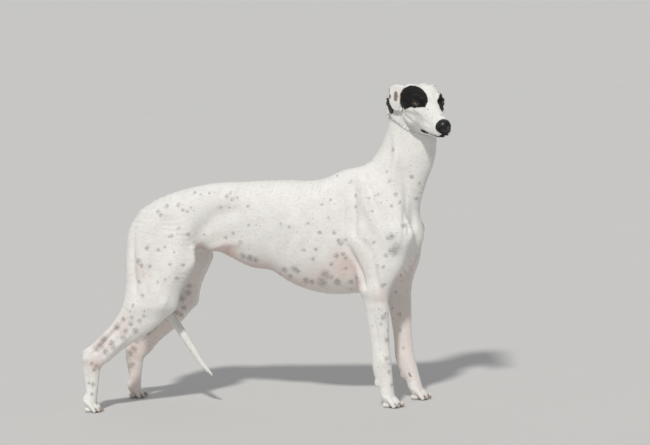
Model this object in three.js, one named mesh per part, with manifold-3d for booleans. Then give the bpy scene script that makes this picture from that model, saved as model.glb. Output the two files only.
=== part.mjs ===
// A life-size standing greyhound: white, deep-chested, head turned to its right, in millimetres.
// +X runs from tail to chest, +Y to the dog's left, +Z up, and the paws stand on z = 0.
//
// The flesh is one smooth field, built up from tapered tubes that are blended into each other.
// Each sub-part takes its own region of that field, so neighbours meet along thin flat cuts.
import * as THREE from "three";
import { mergeVertices } from "three/addons/utils/BufferGeometryUtils.js";
import Module from "manifold-3d";

const wasm = await Module();
wasm.setup();

const gap = 0.3; // left between touching pieces

// Driving sizes
const withers = 714; // height of the shoulder top
const brisket = 334; // height of the deepest point of the chest
const chestHalfWidth = 95;
const loinHalfWidth = 68;
const wristHeight = 138;
const hockHeight = 167;
const headScale = 1.15; // the head's own sizes below are for a 230 mm head
const headYaw = -55.4; // degrees, the head is turned to the dog's right
const headPitch = 17.6; // degrees, nose down
const headRoll = -1;
const eyeMid = [524, -90, 905]; // half way between the eyes
const eyeRadius = 11.5;
const floorLevel = 0;

// Vector helpers on plain arrays
const plus = (a, b, s = 1) => [a[0] + b[0] * s, a[1] + b[1] * s, a[2] + b[2] * s];
const dot = (a, b) => a[0] * b[0] + a[1] * b[1] + a[2] * b[2];
const cross = (a, b) => [a[1] * b[2] - a[2] * b[1], a[2] * b[0] - a[0] * b[2], a[0] * b[1] - a[1] * b[0]];
const unit = (a) => {
  const n = Math.hypot(...a);
  return [a[0] / n, a[1] / n, a[2] / n];
};
const mix = (a, b, t) => a + (b - a) * t;
const mixPoint = (a, b, t) => [mix(a[0], b[0], t), mix(a[1], b[1], t), mix(a[2], b[2], t)];
const radians = (degrees) => (degrees * Math.PI) / 180;

// Field operations: a field gives a rough distance to its surface, negative inside
const blend = (a, b, k) => {
  const h = Math.max(k - Math.abs(a - b), 0) / k;
  return Math.min(a, b) - (h * h * k) / 4;
};
const carve = (a, b, k) => -blend(-a, b, k);

// A smooth curve through values at even steps
const catmull = (p0, p1, p2, p3, t) => {
  const square = 2 * p0 - 5 * p1 + 4 * p2 - p3;
  const cube = 3 * p1 - p0 - 3 * p2 + p3;
  return 0.5 * (2 * p1 + (p2 - p0) * t + square * t ** 2 + cube * t ** 3);
};
// Row i + t of a list of equal rows, taken smoothly between its neighbours
const smoothRow = (rows, i, t) => {
  const at = (k) => rows[Math.min(Math.max(k, 0), rows.length - 1)];
  return at(i).map((_, n) => catmull(at(i - 1)[n], at(i)[n], at(i + 1)[n], at(i + 2)[n], t));
};

// A tube through stations [x, y, z, halfWidth, rise, drop]. Its width lies along side, and rise and
// drop reach to the two sides across it, rise towards cross(direction, side).
function tube(stations, { side = [0, 1, 0], steps = 4, square = 2, squareDrop = square, cap = 1 } = {}) {
  const fine = [];
  for (let i = 0; i < stations.length - 1; i++)
    for (let j = 0; j < steps; j++) fine.push(smoothRow(stations, i, j / steps));
  fine.push(stations.at(-1));
  const reach = Math.max(...fine.map((s) => Math.max(s[3], s[4], s[5])));
  const low = [0, 1, 2].map((n) => Math.min(...fine.map((s) => s[n])) - reach);
  const high = [0, 1, 2].map((n) => Math.max(...fine.map((s) => s[n])) + reach);
  const pieces = fine.slice(1).map((b, i) => {
    const a = fine[i];
    const axis = [b[0] - a[0], b[1] - a[1], b[2] - a[2]];
    const along = unit(axis);
    const wide = unit(plus(side, along, -dot(side, along)));
    return { a, b, axis, along, wide, deep: cross(along, wide), length2: dot(axis, axis) };
  });
  const power = (x, n) => (n === 2 ? x * x : x ** n);
  const field = ([x, y, z]) => {
    let best = 1e9;
    for (const { a, b, axis, along, wide, deep, length2 } of pieces) {
      const [rx, ry, rz] = [x - a[0], y - a[1], z - a[2]];
      const t = Math.min(Math.max((rx * axis[0] + ry * axis[1] + rz * axis[2]) / length2, 0), 1);
      const [cx, cy, cz] = [rx - axis[0] * t, ry - axis[1] * t, rz - axis[2] * t];
      const d = cx * deep[0] + cy * deep[1] + cz * deep[2];
      const hw = mix(a[3], b[3], t);
      const hd = d > 0 ? mix(a[4], b[4], t) : mix(a[5], b[5], t);
      const he = cap * Math.min(hw, hd);
      const far = Math.hypot(cx, cy, cz) - Math.max(hw, hd);
      if (far > best) continue;
      const n = d > 0 ? square : squareDrop;
      const kw = Math.abs(cx * wide[0] + cy * wide[1] + cz * wide[2]) / hw;
      const kd = Math.abs(d) / hd;
      const ke = Math.abs(cx * along[0] + cy * along[1] + cz * along[2]) / he;
      const k = (power(kw, n) + power(kd, n) + power(ke, n)) ** (1 / n);
      if (k < 1e-4) {
        best = Math.min(best, -Math.min(hw, hd));
        continue;
      }
      const steep = Math.hypot(power(kw, n - 1) / hw, power(kd, n - 1) / hd, power(ke, n - 1) / he);
      best = Math.min(best, (k - 1) / (k ** (1 - n) * steep));
    }
    return best;
  };
  return { field, low, high };
}

// A round or egg-shaped mass: centre, the three half sizes, and its pitch about Y in degrees
function mass(centre, [hx, hy, hz], pitch = 0) {
  const c = Math.cos(radians(pitch));
  const s = Math.sin(radians(pitch));
  const field = (p) => {
    const x = p[0] - centre[0];
    const z = p[2] - centre[2];
    const q = [(x * c - z * s) / hx, (p[1] - centre[1]) / hy, (x * s + z * c) / hz];
    const k = Math.hypot(...q);
    if (k < 1e-4) return -Math.min(hx, hy, hz);
    return (k * (k - 1)) / Math.hypot(q[0] / hx, q[1] / hy, q[2] / hz);
  };
  const reach = Math.max(hx, hy, hz);
  return { field, low: plus(centre, [1, 1, 1], -reach), high: plus(centre, [1, 1, 1], reach) };
}

// Layers of tubes and masses, each blended in or carved out over its own soft width
function sculpt(layers) {
  return (p) => {
    let f = 1e3;
    for (const { shape, soft, cut } of layers) {
      const { low, high } = shape;
      const away = Math.max(...p.map((x, i) => Math.max(low[i] - x, x - high[i])));
      if (away > soft + 30) {
        if (!cut) f = Math.min(f, away);
        continue;
      }
      f = cut ? carve(f, shape.field(p), soft) : blend(f, shape.field(p), soft);
    }
    return f;
  };
}
const add = (shape, soft) => ({ shape, soft, cut: false });
const take = (shape, soft) => ({ shape, soft, cut: true });
const bothSides = (make) => [...make(-1), ...make(1)];

// Trunk
const trunk = () =>
  tube(
    [
      [-412, 0, 540, 30, 10, 40],
      [-380, 0, 552, 50, 30, 66],
      [-330, 0, 566, 68, 64, 88],
      [-250, 0, 576, 72, 82, 100],
      [-170, 0, 586, loinHalfWidth, 88, 115],
      [-95, 0, 584, loinHalfWidth + 3, 94, 138],
      [-20, 0, 570, 80, 112, 156],
      [50, 0, 552, 88, 131, 151],
      [120, 0, 532, chestHalfWidth, 148, 174],
      [190, 0, 518, chestHalfWidth, 172, 518 - brisket],
      [260, 0, 515, 90, withers - 520, 514 - brisket],
      [330, 0, 520, 77, 176, 171],
      [388, 0, 530, 60, 128, 140],
      [428, 0, 538, 44, 84, 90],
      [450, 0, 545, 30, 52, 56],
    ],
    { square: 2.15, squareDrop: 2, cap: 0.6 },
  );

// The shallow line of the spine
const spineGroove = [
  [300, 0, 716, 4, 5, 5],
  [120, 0, 688, 4, 5, 5],
  [-60, 0, 690, 4, 5, 5],
  [-240, 0, 670, 4, 5, 5],
];

// Neck, from deep in the shoulders up to the skull
const neckStations = [
  [325, 0, 600, 66, 95, 104],
  [372, 0, 655, 62, 86, 108],
  [404, 0, 708, 56, 76, 97],
  [426, 0, 756, 53, 69, 95],
  [440, -1, 802, 51, 65, 87],
  [448, -3, 845, 47, 61, 71],
  [456, -7, 888, 44, 54, 46],
];

// Fore legs: the left one stands ahead of the right one
const foreJoints = {
  [-1]: {
    point: [425, -74, 512],
    elbow: [337, -71, 352],
    wrist: [348, -63, wristHeight],
    paw: [366, -61, 0],
  },
  1: {
    point: [427, 74, 512],
    elbow: [376, 72, 352],
    wrist: [390, 66, wristHeight],
    paw: [426, 62, 0],
  },
};
const foreLeg = (s) => {
  const { point, elbow, wrist, paw } = foreJoints[s];
  const shift = point[0] - 425;
  const lower = (t, ...sizes) => [...mixPoint(elbow, wrist, t), ...sizes];
  const pastern = (t, ...sizes) => [...mixPoint(wrist, [paw[0] - 6, paw[1], 30], t), ...sizes];
  const scapula = tube([
    [272 + shift, s * 34, 664, 16, 30, 34],
    [325 + shift, s * 58, 612, 24, 46, 56],
    [385 + shift, s * 70, 558, 27, 54, 60],
    [...plus(point, [-4, 0, 4]), 27, 34, 50],
  ]);
  const upperArm = tube([
    [...plus(point, [-4, 0, 0]), 28, 30, 48],
    [mix(point[0], elbow[0], 0.4), s * 74, 446, 30, 42, 50],
    [mix(point[0], elbow[0], 0.78), s * 74, 394, 28, 42, 46],
    [...elbow, 26, 36, 36],
  ]);
  const triceps = tube([
    [315 + shift, s * 58, 598, 20, 60, 34],
    [312 + shift, s * 70, 515, 27, 64, 42],
    [mix(312 + shift, elbow[0] - 26, 0.6), s * 75, 432, 25, 50, 32],
    [elbow[0] - 25, elbow[1], 362, 15, 24, 19],
  ]);
  const forearm = tube([
    lower(-0.04, 25, 37, 43),
    lower(0.14, 25, 35, 41),
    lower(0.32, 23, 32, 38),
    lower(0.58, 19, 27, 34),
    lower(0.82, 17.5, 24, 33),
    lower(1, 21, 25, 35),
    pastern(0.3, 20, 22, 35),
    pastern(0.6, 19, 20, 27),
    pastern(1, 21, 18, 19),
  ]);
  const stopper = mass(plus(mixPoint(wrist, paw, 0.46), [-29, s * 4, 0]), [9, 8, 12]);
  return [add(scapula, 36), add(upperArm, 36), add(triceps, 34), add(forearm, 18), add(stopper, 10)];
};

// Hind legs: the left one stands ahead of the right one
const hindJoints = {
  [-1]: {
    hip: [-322, -56, 585],
    knee: [-350, -84, 335],
    hock: [-546, -112, hockHeight],
    paw: [-548, -116, 0],
  },
  1: {
    hip: [-316, 56, 585],
    knee: [-334, 84, 320],
    hock: [-482, 110, hockHeight - 16],
    paw: [-480, 114, 0],
  },
};
const hindLeg = (s) => {
  const { hip, knee, hock, paw } = hindJoints[s];
  const upper = (t, ...sizes) => [...mixPoint(hip, knee, t), ...sizes];
  const lower = (t, ...sizes) => [...mixPoint(knee, hock, t), ...sizes];
  const rear = (t, ...sizes) => [...mixPoint(plus(hock, [0, 0, -12]), [paw[0] - 5, paw[1], 32], t), ...sizes];
  const thigh = tube([
    upper(0, 40, 60, 64),
    upper(0.2, 49, 96, 90),
    upper(0.4, 52, 122, 94),
    upper(0.56, 52, 122, 93),
    upper(0.76, 49, 98, 89),
    upper(0.92, 44, 84, 86),
    upper(1.04, 38, 76, 81),
  ], { cap: 0.7 });
  const shank = tube([
    lower(-0.1, 38, 64, 62),
    lower(0.08, 37, 69, 62),
    lower(0.3, 33, 65, 46),
    lower(0.48, 27, 57, 34),
    lower(0.66, 22, 49, 28),
    lower(0.86, 19, 47, 27),
    lower(1, 18, 40, 27),
  ]);
  const metatarsus = tube([
    [...plus(hock, [2, 0, 10]), 17, 34, 26],
    rear(0, 18, 34, 26),
    rear(0.3, 17, 29, 23),
    rear(0.55, 15.5, 25, 18),
    rear(0.8, 17, 22, 15),
    rear(1, 19, 20, 16),
  ]);
  return [add(thigh, 34), add(shank, 26), add(metatarsus, 12)];
};

// Tail, hanging between the hind legs and curving forward below the thighs
const tailStations = [
  [-345, 0, 598, 26, 22],
  [-384, 0, 578, 24, 21],
  [-411, 0, 546, 20, 19],
  [-427, 0, 500, 17, 17],
  [-425, 0, 436, 16, 16],
  [-404, -2, 372, 15, 15],
  [-365, -5, 325, 14, 14.5],
  [-329, -8, 286, 13.5, 14],
  [-293, -10, 238, 13, 13.5],
  [-256, -12, 178, 11, 11.5],
  [-226, -12, 128, 8, 8.5],
  [-196, -12, 93, 3, 3.5],
];
const tailCuts = [
  [[-422, 0, 410], [0.35, 0, -1]],
  [[-293, 0, 240], [0.6, 0, -1]],
];

// Paws: four arched toes, a heel pad and nails
function paw(s, at, heading, size) {
  const c = Math.cos(radians(heading));
  const n = Math.sin(radians(heading));
  const place = ([x, y, z]) => [at[0] + (x * c - y * n) * size, at[1] + (x * n + y * c) * size, z * size];
  const side = [-n, c, 0];
  const toe = (y, back, spread) =>
    tube(
      [
        [...place([-7 - back * 0.6, y * 0.7, 37]), 9.5 * size, 10.5 * size, 10.5 * size],
        [...place([4 - back, y * 0.9, 33]), 9 * size, 10 * size, 9.5 * size],
        [...place([14 - back, y, 24]), 8.4 * size, 9 * size, 8.6 * size],
        [...place([22 - back, y + spread, 14]), 8 * size, 8.4 * size, 8.2 * size],
        [...place([26 - back, y + spread, 7]), 7.2 * size, 7.2 * size, 7.2 * size],
      ],
      { side },
    );
  const nail = (y, back) =>
    tube(
      [
        [...place([29 - back, y, 13]), 3.2 * size, 4 * size, 4 * size],
        [...place([35 - back, y, 10.5]), 2.6 * size, 3.2 * size, 3.2 * size],
        [...place([39.5 - back, y, 5]), 1.6 * size, 2 * size, 2 * size],
      ],
      { side },
    );
  const toes = [
    [-18, 9, -1.6],
    [-6.6, 0, -0.6],
    [6.6, 0, 0.6],
    [18, 9, 1.6],
  ];
  const instep = tube(
    [
      [...place([-11, 0, 42]), 19 * size, 16 * size, 16 * size],
      [...place([-4, 0, 28]), 20 * size, 14 * size, 14 * size],
    ],
    { side },
  );
  return [
    add(instep, 12),
    ...toes.map(([y, back, spread]) => add(toe(y, back, spread), 2.6)),
    add(mass(place([-7, 0, 9]), [16 * size, 17 * size, 11 * size]), 5),
    ...toes.map(([y, back, spread]) => add(nail(y + spread, back), 1.5)),
  ];
}
const foreToes = (s) => paw(s, plus(foreJoints[s].paw, [-5, 0, 0]), s * 3, 1);
const hindToes = (s) => paw(s, plus(hindJoints[s].paw, [-4, 0, 0]), s * 3, 0.94);

// Head, in its own frame: u forward, v to the left, w up, from the point half way between the eyes
const headAxes = (() => {
  const [yaw, pitch, roll] = [headYaw, headPitch, headRoll].map(radians);
  const u = [Math.cos(pitch) * Math.cos(yaw), Math.cos(pitch) * Math.sin(yaw), -Math.sin(pitch)];
  const v0 = [-Math.sin(yaw), Math.cos(yaw), 0];
  const w0 = cross(u, v0);
  const v = plus(v0.map((x) => x * Math.cos(roll)), w0, Math.sin(roll));
  const w = plus(w0.map((x) => x * Math.cos(roll)), v0, -Math.sin(roll));
  return { u, v, w };
})();
const intoHead = (p) => {
  const r = plus(p, eyeMid, -1).map((x) => x / headScale);
  return [dot(r, headAxes.u), dot(r, headAxes.v), dot(r, headAxes.w)];
};
const outOfHead = ([u, v, w]) =>
  plus(plus(plus(eyeMid, headAxes.u, u * headScale), headAxes.v, v * headScale), headAxes.w, w * headScale);
const eyeAt = (s) => [0, s * 32, 0];
const eyeOutward = (s) => unit([0.62, s * 0.77, 0.12]);

const skull = () => [
  add(
    tube(
      [
        [-106, 0, -8, 22, 15, 26],
        [-84, 0, -9, 35, 26, 42],
        [-52, 0, -10, 42, 35, 55],
        [-22, 0, -12, 41, 36, 60],
        [4, 0, -16, 35, 33, 58],
        [30, 0, -21, 30, 29, 53],
      ],
      { square: 2.3, squareDrop: 2.1, cap: 0.5 },
    ),
    1,
  ),
  add(
    tube(
      [
        [0, 0, -19, 33, 30, 50],
        [28, 0, -23, 30.5, 31, 49],
        [54, 0, -27, 28, 28.5, 43],
        [80, 0, -30, 25, 25, 34.5],
        [96, 0, -32, 23, 21.5, 25],
        [105, 0, -33, 20, 17, 20.5],
      ],
      { square: 1.8, squareDrop: 2.4, cap: 0.45 },
    ),
    10,
  ),
  add(mass([-100, 0, 2], [13, 11, 9]), 12), // back of the skull
  // Bridge of the nose
  add(tube([[34, 0, 1, 9, 7, 8], [62, 0, -5, 10, 7, 8], [92, 0, -13, 11, 7, 8]]), 8),
  // Lower jaw
  add(
    tube([
      [-44, 0, -60, 24, 16, 24],
      [-16, 0, -64, 23, 16, 22],
      [18, 0, -65, 19, 12, 16],
      [72, 0, -56, 14, 7, 8],
      [100, 0, -47, 11, 6, 5.5],
    ]),
    9,
  ),
];
const headSide = (s) => [
  // Cheek arch
  add(
    tube([
      [18, s * 31, -15, 5, 7, 7],
      [-6, s * 40, -19, 6, 7, 8],
      [-30, s * 46, -20, 6, 8, 8],
      [-58, s * 44, -13, 6, 8, 8],
    ]),
    9,
  ),
  add(mass([-32, s * 33, -42], [31, 13, 27], 20), 12), // jaw muscle
  add(mass([-50, s * 23, 9], [36, 21, 18], 6), 14), // temple muscle
  // Brow
  add(tube([[12, s * 24, 12, 6, 6, 6], [-2, s * 30.5, 14, 6, 6, 6], [-16, s * 34, 10, 6, 6, 6]]), 8),
  // Upper lip
  add(
    tube([
      [36, s * 24, -48, 6, 12, 8],
      [60, s * 24.5, -46, 6, 12, 8],
      [86, s * 20, -43, 6, 11, 8],
      [106, s * 10, -42, 6, 8, 4],
    ]),
    8,
  ),
  take(tube([[22, s * 35, 3, 5, 6, 7], [44, s * 32, -3, 4, 5, 6]]), 9), // hollow before the eye
  take(tube([[8, s * 41, -38, 3, 5, 5], [34, s * 35, -36, 3, 5, 5]]), 9), // hollow below the cheek
  add(mass(eyeAt(s), [14, 13.5, 13.5]), 5),
];
const lids = (s) => {
  // The almond of the eye opening, laid on a ball just outside the eye
  const outward = eyeOutward(s);
  const across = unit(cross([0, 0, 1], outward)); // towards the nose on the right, the ear on the left
  const upward = cross(outward, across);
  const radius = eyeRadius / headScale + 1.4;
  const rim = (angle, open) => {
    const a = 11.5 * Math.cos(angle);
    const b = open * Math.sin(angle) * (1 - 0.3 * Math.cos(angle) ** 2) - 0.1 * s * a;
    const o = Math.sqrt(radius * radius - 0.62 * a * a - b * b);
    return plus(plus(plus(eyeAt(s), across, a), upward, b), outward, o);
  };
  const lid = (from, to, open, thick) =>
    tube(
      Array.from({ length: 7 }, (_, i) => [...rim(mix(from, to, i / 6), open), thick, thick, thick]),
      { side: outward, steps: 2 },
    );
  return [add(lid(0, Math.PI, 6.6, 2.1), 3), add(lid(Math.PI, 2 * Math.PI, 5.2, 1.8), 3)];
};
const eyeOpening = (s) => {
  const outward = eyeOutward(s);
  const across = unit(cross([0, 0, 1], outward));
  const at = (a, o) => plus(plus(eyeAt(s), across, a), outward, o);
  const slit = [
    [...at(-7.5, 12), 4, 4, 4],
    [...at(0, 14), 8, 4.8, 4.8],
    [...at(7.5, 12), 4, 4, 4],
  ];
  return [take(tube(slit, { side: outward }), 1.5)];
};
const mouthLine = (s) => [
  take(
    tube([
      [14, s * 20.5, -67.5, 2.4, 1.8, 1.8],
      [32, s * 20.5, -65.5, 3.6, 2.8, 2.8],
      [52, s * 21, -60.5, 3.2, 2.4, 2.4],
      [66, s * 20.5, -58.5, 2.5, 1.8, 1.8],
      [80, s * 18, -56.5, 2.5, 1.6, 1.6],
      [94, s * 14.5, -54, 2.5, 1.5, 1.5],
      [104, s * 8.5, -51.5, 2.5, 1.5, 1.5],
      [110, s * 2, -49, 2.5, 1.5, 1.5],
    ]),
    2.5,
  ),
];
const headLayers = [
  ...skull(),
  ...bothSides(headSide),
  ...bothSides(lids),
  ...bothSides(eyeOpening),
  ...bothSides(mouthLine),
];
const headField = sculpt(headLayers);
const headInPlace = {
  field: (p) => headField(intoHead(p)) * headScale,
  low: plus(eyeMid, [-170, -150, -140]),
  high: plus(eyeMid, [150, 150, 90]),
};

const neck = () => tube(neckStations, { square: 2.1 });
const flesh = sculpt([
  add(trunk(), 1),
  ...bothSides(hindLeg),
  ...bothSides(foreLeg),
  add(neck(), 46),
  ...bothSides((s) => [...foreToes(s), ...hindToes(s)]),
  take(tube(spineGroove), 14),
  add(headInPlace, 22),
]);

// Turns a field into a closed mesh on a grid of cells, with each point drawn on to the surface.
// A cell holds one point for each separate sheet of surface that passes through it.
const corners = [0, 1, 2, 3, 4, 5, 6, 7].map((c) => [c & 1, (c >> 1) & 1, c >> 2]);
const cellEdges = corners.flatMap((_, a) => [1, 2, 4].filter((bit) => !(a & bit)).map((bit) => [a, a | bit]));
const edgeBetween = (a, b) => cellEdges.findIndex(([c, d]) => c === Math.min(a, b) && d === Math.max(a, b));
const cellFaces = [1, 2, 4].flatMap((bit) => {
  const [p, q] = [1, 2, 4].filter((other) => other !== bit);
  return [0, bit].map((base) => [base, base | p, base | p | q, base | q]);
});
function sheetsOf(inside) {
  const sheet = cellEdges.map(([a, b], e) => (inside[a] !== inside[b] ? e : -1));
  const join = (e, f) => {
    const [from, to] = [sheet[e], sheet[f]];
    for (let i = 0; i < sheet.length; i++) if (sheet[i] === from) sheet[i] = to;
  };
  for (const ring of cellFaces) {
    const sides = ring.map((c, i) => edgeBetween(c, ring[(i + 1) % 4]));
    const open = sides.filter((e) => sheet[e] >= 0);
    if (open.length === 2) join(open[0], open[1]);
    if (open.length === 4) ring.forEach((c, i) => inside[c] && join(sides[i], sides[(i + 3) % 4]));
  }
  return sheet;
}
function skinOf(field, low, high, cell, level = 0) {
  const n = [0, 1, 2].map((i) => Math.ceil((high[i] - low[i]) / cell[i]) + 1);
  const at = (i, j, k) => (k * n[1] + j) * n[0] + i;
  const value = new Float64Array(n[0] * n[1] * n[2]);
  for (let k = 0; k < n[2]; k++)
    for (let j = 0; j < n[1]; j++)
      for (let i = 0, skip = 0, f = 0; i < n[0]; i++, skip--) {
        if (skip <= 0) {
          f = field([low[0] + i * cell[0], low[1] + j * cell[1], low[2] + k * cell[2]]) - level || 1e-6;
          skip = Math.max(1, Math.floor((0.45 * Math.abs(f)) / cell[0]));
        }
        const border = i === 0 || j === 0 || k === 0 || i === n[0] - 1 || j === n[1] - 1 || k === n[2] - 1;
        value[at(i, j, k)] = border ? Math.max(f, 0.4 * Math.min(...cell)) : f;
      }
  const positions = [];
  const sheetPoints = new Map();
  for (let k = 0; k < n[2] - 1; k++)
    for (let j = 0; j < n[1] - 1; j++)
      for (let i = 0; i < n[0] - 1; i++) {
        const v = corners.map(([a, b, c]) => value[at(i + a, j + b, k + c)]);
        const inside = v.map((x) => x < 0);
        if (inside.every((x) => x === inside[0])) continue;
        const sheet = sheetsOf(inside);
        const pointOf = new Map();
        for (const id of new Set(sheet.filter((e) => e >= 0))) {
          const crossed = cellEdges.filter((_, e) => sheet[e] === id);
          let sum = [0, 0, 0];
          for (const [a, b] of crossed)
            sum = plus(sum, mixPoint(corners[a], corners[b], v[a] / (v[a] - v[b])));
          const corner = [i, j, k].map((x, m) => low[m] + x * cell[m]);
          const start = corner.map((x, m) => x + (sum[m] / crossed.length) * cell[m]);
          pointOf.set(id, positions.length / 3);
          positions.push(...drawnOn(field, start, level, cell, corner));
        }
        sheetPoints.set(at(i, j, k), sheet.map((id) => pointOf.get(id)));
      }
  const faces = [];
  const distance2 = (a, b) =>
    [0, 1, 2].reduce((sum, m) => sum + (positions[3 * a + m] - positions[3 * b + m]) ** 2, 0);
  for (let k = 0; k < n[2] - 1; k++)
    for (let j = 0; j < n[1] - 1; j++)
      for (let i = 0; i < n[0] - 1; i++)
        for (let axis = 0; axis < 3; axis++) {
          const step = [0, 0, 0];
          step[axis] = 1;
          const here = value[at(i, j, k)] < 0;
          if (here === value[at(i + step[0], j + step[1], k + step[2])] < 0) continue;
          const p = (axis + 1) % 3;
          const q = (axis + 2) % 3;
          const quad = [[0, 0], [1, 0], [1, 1], [0, 1]].map(([dp, dq]) => {
            const c = [i, j, k];
            c[p] -= dp;
            c[q] -= dq;
            const corner = (dp << p) | (dq << q);
            return sheetPoints.get(at(...c))[edgeBetween(corner, corner | (1 << axis))];
          });
          if (!here) quad.reverse();
          const [a, b, c, d] = quad;
          if (distance2(a, c) <= distance2(b, d)) faces.push(a, b, c, a, c, d);
          else faces.push(a, b, d, b, c, d);
        }
  return { positions: new Float32Array(positions), faces: new Uint32Array(faces) };
}

// Moves a point a few small steps on to the surface, kept inside its own cell
function drawnOn(field, start, level, cell, corner) {
  let p = start;
  const h = 0.02 * Math.min(...cell);
  for (let pass = 0; pass < 3; pass++) {
    const f = field(p) - level;
    if (Math.abs(f) < 0.02) break;
    const slope = [0, 1, 2].map((m) => {
      const q = [...p];
      q[m] += h;
      return (field(q) - level - f) / h;
    });
    const size2 = Math.max(dot(slope, slope), 0.05);
    const lowest = (m) => corner[m] + 0.05 * cell[m];
    const highest = (m) => corner[m] + 0.95 * cell[m];
    p = p.map((x, m) => Math.min(Math.max(x - (f * slope[m]) / size2, lowest(m)), highest(m)));
  }
  return p;
}

// Drops the least telling points of a closed mesh until no more than target triangles are left.
// Each point keeps the sum of the planes that it has stood for, and a merged point sits closest to them.
function thinned({ positions, faces }, target) {
  const points = [];
  for (let i = 0; i < positions.length; i += 3) points.push([...positions.slice(i, i + 3)]);
  const triangles = [];
  for (let i = 0; i < faces.length; i += 3) triangles.push([...faces.slice(i, i + 3)]);
  const facing = (a, b, c) => cross(plus(b, a, -1), plus(c, a, -1));
  const around = points.map(() => new Set());
  const planes = points.map(() => new Float64Array(10));
  triangles.forEach((triangle, i) => {
    const [a, b, c] = triangle.map((v) => points[v]);
    const normal = facing(a, b, c);
    const area = Math.hypot(...normal);
    if (area < 1e-9) return triangle.forEach((v) => around[v].add(i));
    const [x, y, z] = normal.map((m) => m / area);
    const d = -(x * a[0] + y * a[1] + z * a[2]);
    const terms = [x * x, x * y, x * z, x * d, y * y, y * z, y * d, z * z, z * d, d * d];
    for (const v of triangle) {
      around[v].add(i);
      terms.forEach((term, m) => (planes[v][m] += term * area));
    }
  });
  const misfit = (q, [x, y, z]) =>
    q[0] * x * x + 2 * q[1] * x * y + 2 * q[2] * x * z + 2 * q[3] * x + q[4] * y * y +
    2 * q[5] * y * z + 2 * q[6] * y + q[7] * z * z + 2 * q[8] * z + q[9];
  const merge = (a, b) => {
    const q = planes[a].map((x, m) => x + planes[b][m]);
    const rows = [[q[0], q[1], q[2]], [q[1], q[4], q[5]], [q[2], q[5], q[7]]];
    const volume = dot(rows[0], cross(rows[1], rows[2]));
    const choices = [points[a], points[b], mixPoint(points[a], points[b], 0.5)];
    const size = (q[0] + q[4] + q[7]) / 3;
    if (volume > 1e-3 * size ** 3) {
      const right = [-q[3], -q[6], -q[8]];
      const best = [cross(rows[1], rows[2]), cross(rows[2], rows[0]), cross(rows[0], rows[1])]
        .reduce((sum, column, m) => plus(sum, column, right[m] / volume), [0, 0, 0]);
      const length = Math.hypot(...plus(points[a], points[b], -1));
      if (Math.hypot(...plus(best, choices[2], -1)) < 2 * length) choices.push(best);
    }
    const costs = choices.map((spot) => misfit(q, spot));
    const cost = Math.min(...costs);
    return { a, b, q, cost, spot: choices[costs.indexOf(cost)] };
  };
  const neighbours = (v) => new Set([...around[v]].flatMap((i) => triangles[i]).filter((u) => u !== v));
  const mayMerge = ({ a, b, spot }) => {
    const nextToB = neighbours(b);
    if ([...neighbours(a)].filter((v) => nextToB.has(v)).length !== 2) return false;
    for (const i of new Set([...around[a], ...around[b]])) {
      const triangle = triangles[i];
      if (triangle.includes(a) && triangle.includes(b)) continue;
      const before = facing(...triangle.map((v) => points[v]));
      const after = facing(...triangle.map((v) => (v === a || v === b ? spot : points[v])));
      const sizes = Math.hypot(...before) * Math.hypot(...after);
      if (Math.hypot(...after) < 0.05 || (sizes > 1e-9 && dot(before, after) < 0.35 * sizes)) return false;
    }
    return true;
  };
  let left = triangles.length;
  while (left > target) {
    const pairs = [];
    for (const triangle of triangles) {
      if (!triangle) continue;
      triangle.forEach((a, m) => {
        const b = triangle[(m + 1) % 3];
        if (a < b) pairs.push(merge(a, b));
      });
    }
    pairs.sort((p, q) => p.cost - q.cost);
    const touched = new Set();
    let merged = 0;
    for (const pair of pairs) {
      const { a, b, q, spot } = pair;
      if (left <= target || merged > pairs.length / 12) break;
      if (touched.has(a) || touched.has(b) || !mayMerge(pair)) continue;
      for (const i of around[b]) {
        if (triangles[i].includes(a)) {
          triangles[i].forEach((v) => v !== b && around[v].delete(i));
          triangles[i] = null;
          left--;
        } else {
          triangles[i] = triangles[i].map((v) => (v === b ? a : v));
          around[a].add(i);
        }
      }
      around[b].clear();
      points[a] = spot;
      planes[a] = q;
      for (const v of neighbours(a)) touched.add(v);
      touched.add(a);
      merged++;
    }
    if (!merged) break;
  }
  const kept = new Map();
  const keptFaces = triangles.filter(Boolean).flat().map((v) => {
    if (!kept.has(v)) kept.set(v, kept.size);
    return kept.get(v);
  });
  return {
    positions: new Float32Array([...kept.keys()].flatMap((v) => points[v])),
    faces: new Uint32Array(keptFaces),
  };
}

// A closed tube through rings of points; a loop joins its last ring to its first, or else flat ends close it
function tubeOfRings(rings, loop = false) {
  const sides = rings[0].length;
  const faces = [];
  const last = loop ? rings.length : rings.length - 1;
  for (let i = 0; i < last; i++)
    for (let j = 0; j < sides; j++) {
      const [a, b] = [i * sides + j, i * sides + ((j + 1) % sides)];
      const next = ((i + 1) % rings.length) * sides;
      const [c, d] = [next + j, next + ((j + 1) % sides)];
      faces.push(a, b, d, a, d, c);
    }
  if (!loop) {
    const end = (rings.length - 1) * sides;
    for (let j = 1; j < sides - 1; j++) faces.push(0, j + 1, j, end, end + j, end + j + 1);
  }
  return solidFrom(new Float32Array(rings.flat(2)), new Uint32Array(faces));
}

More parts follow.
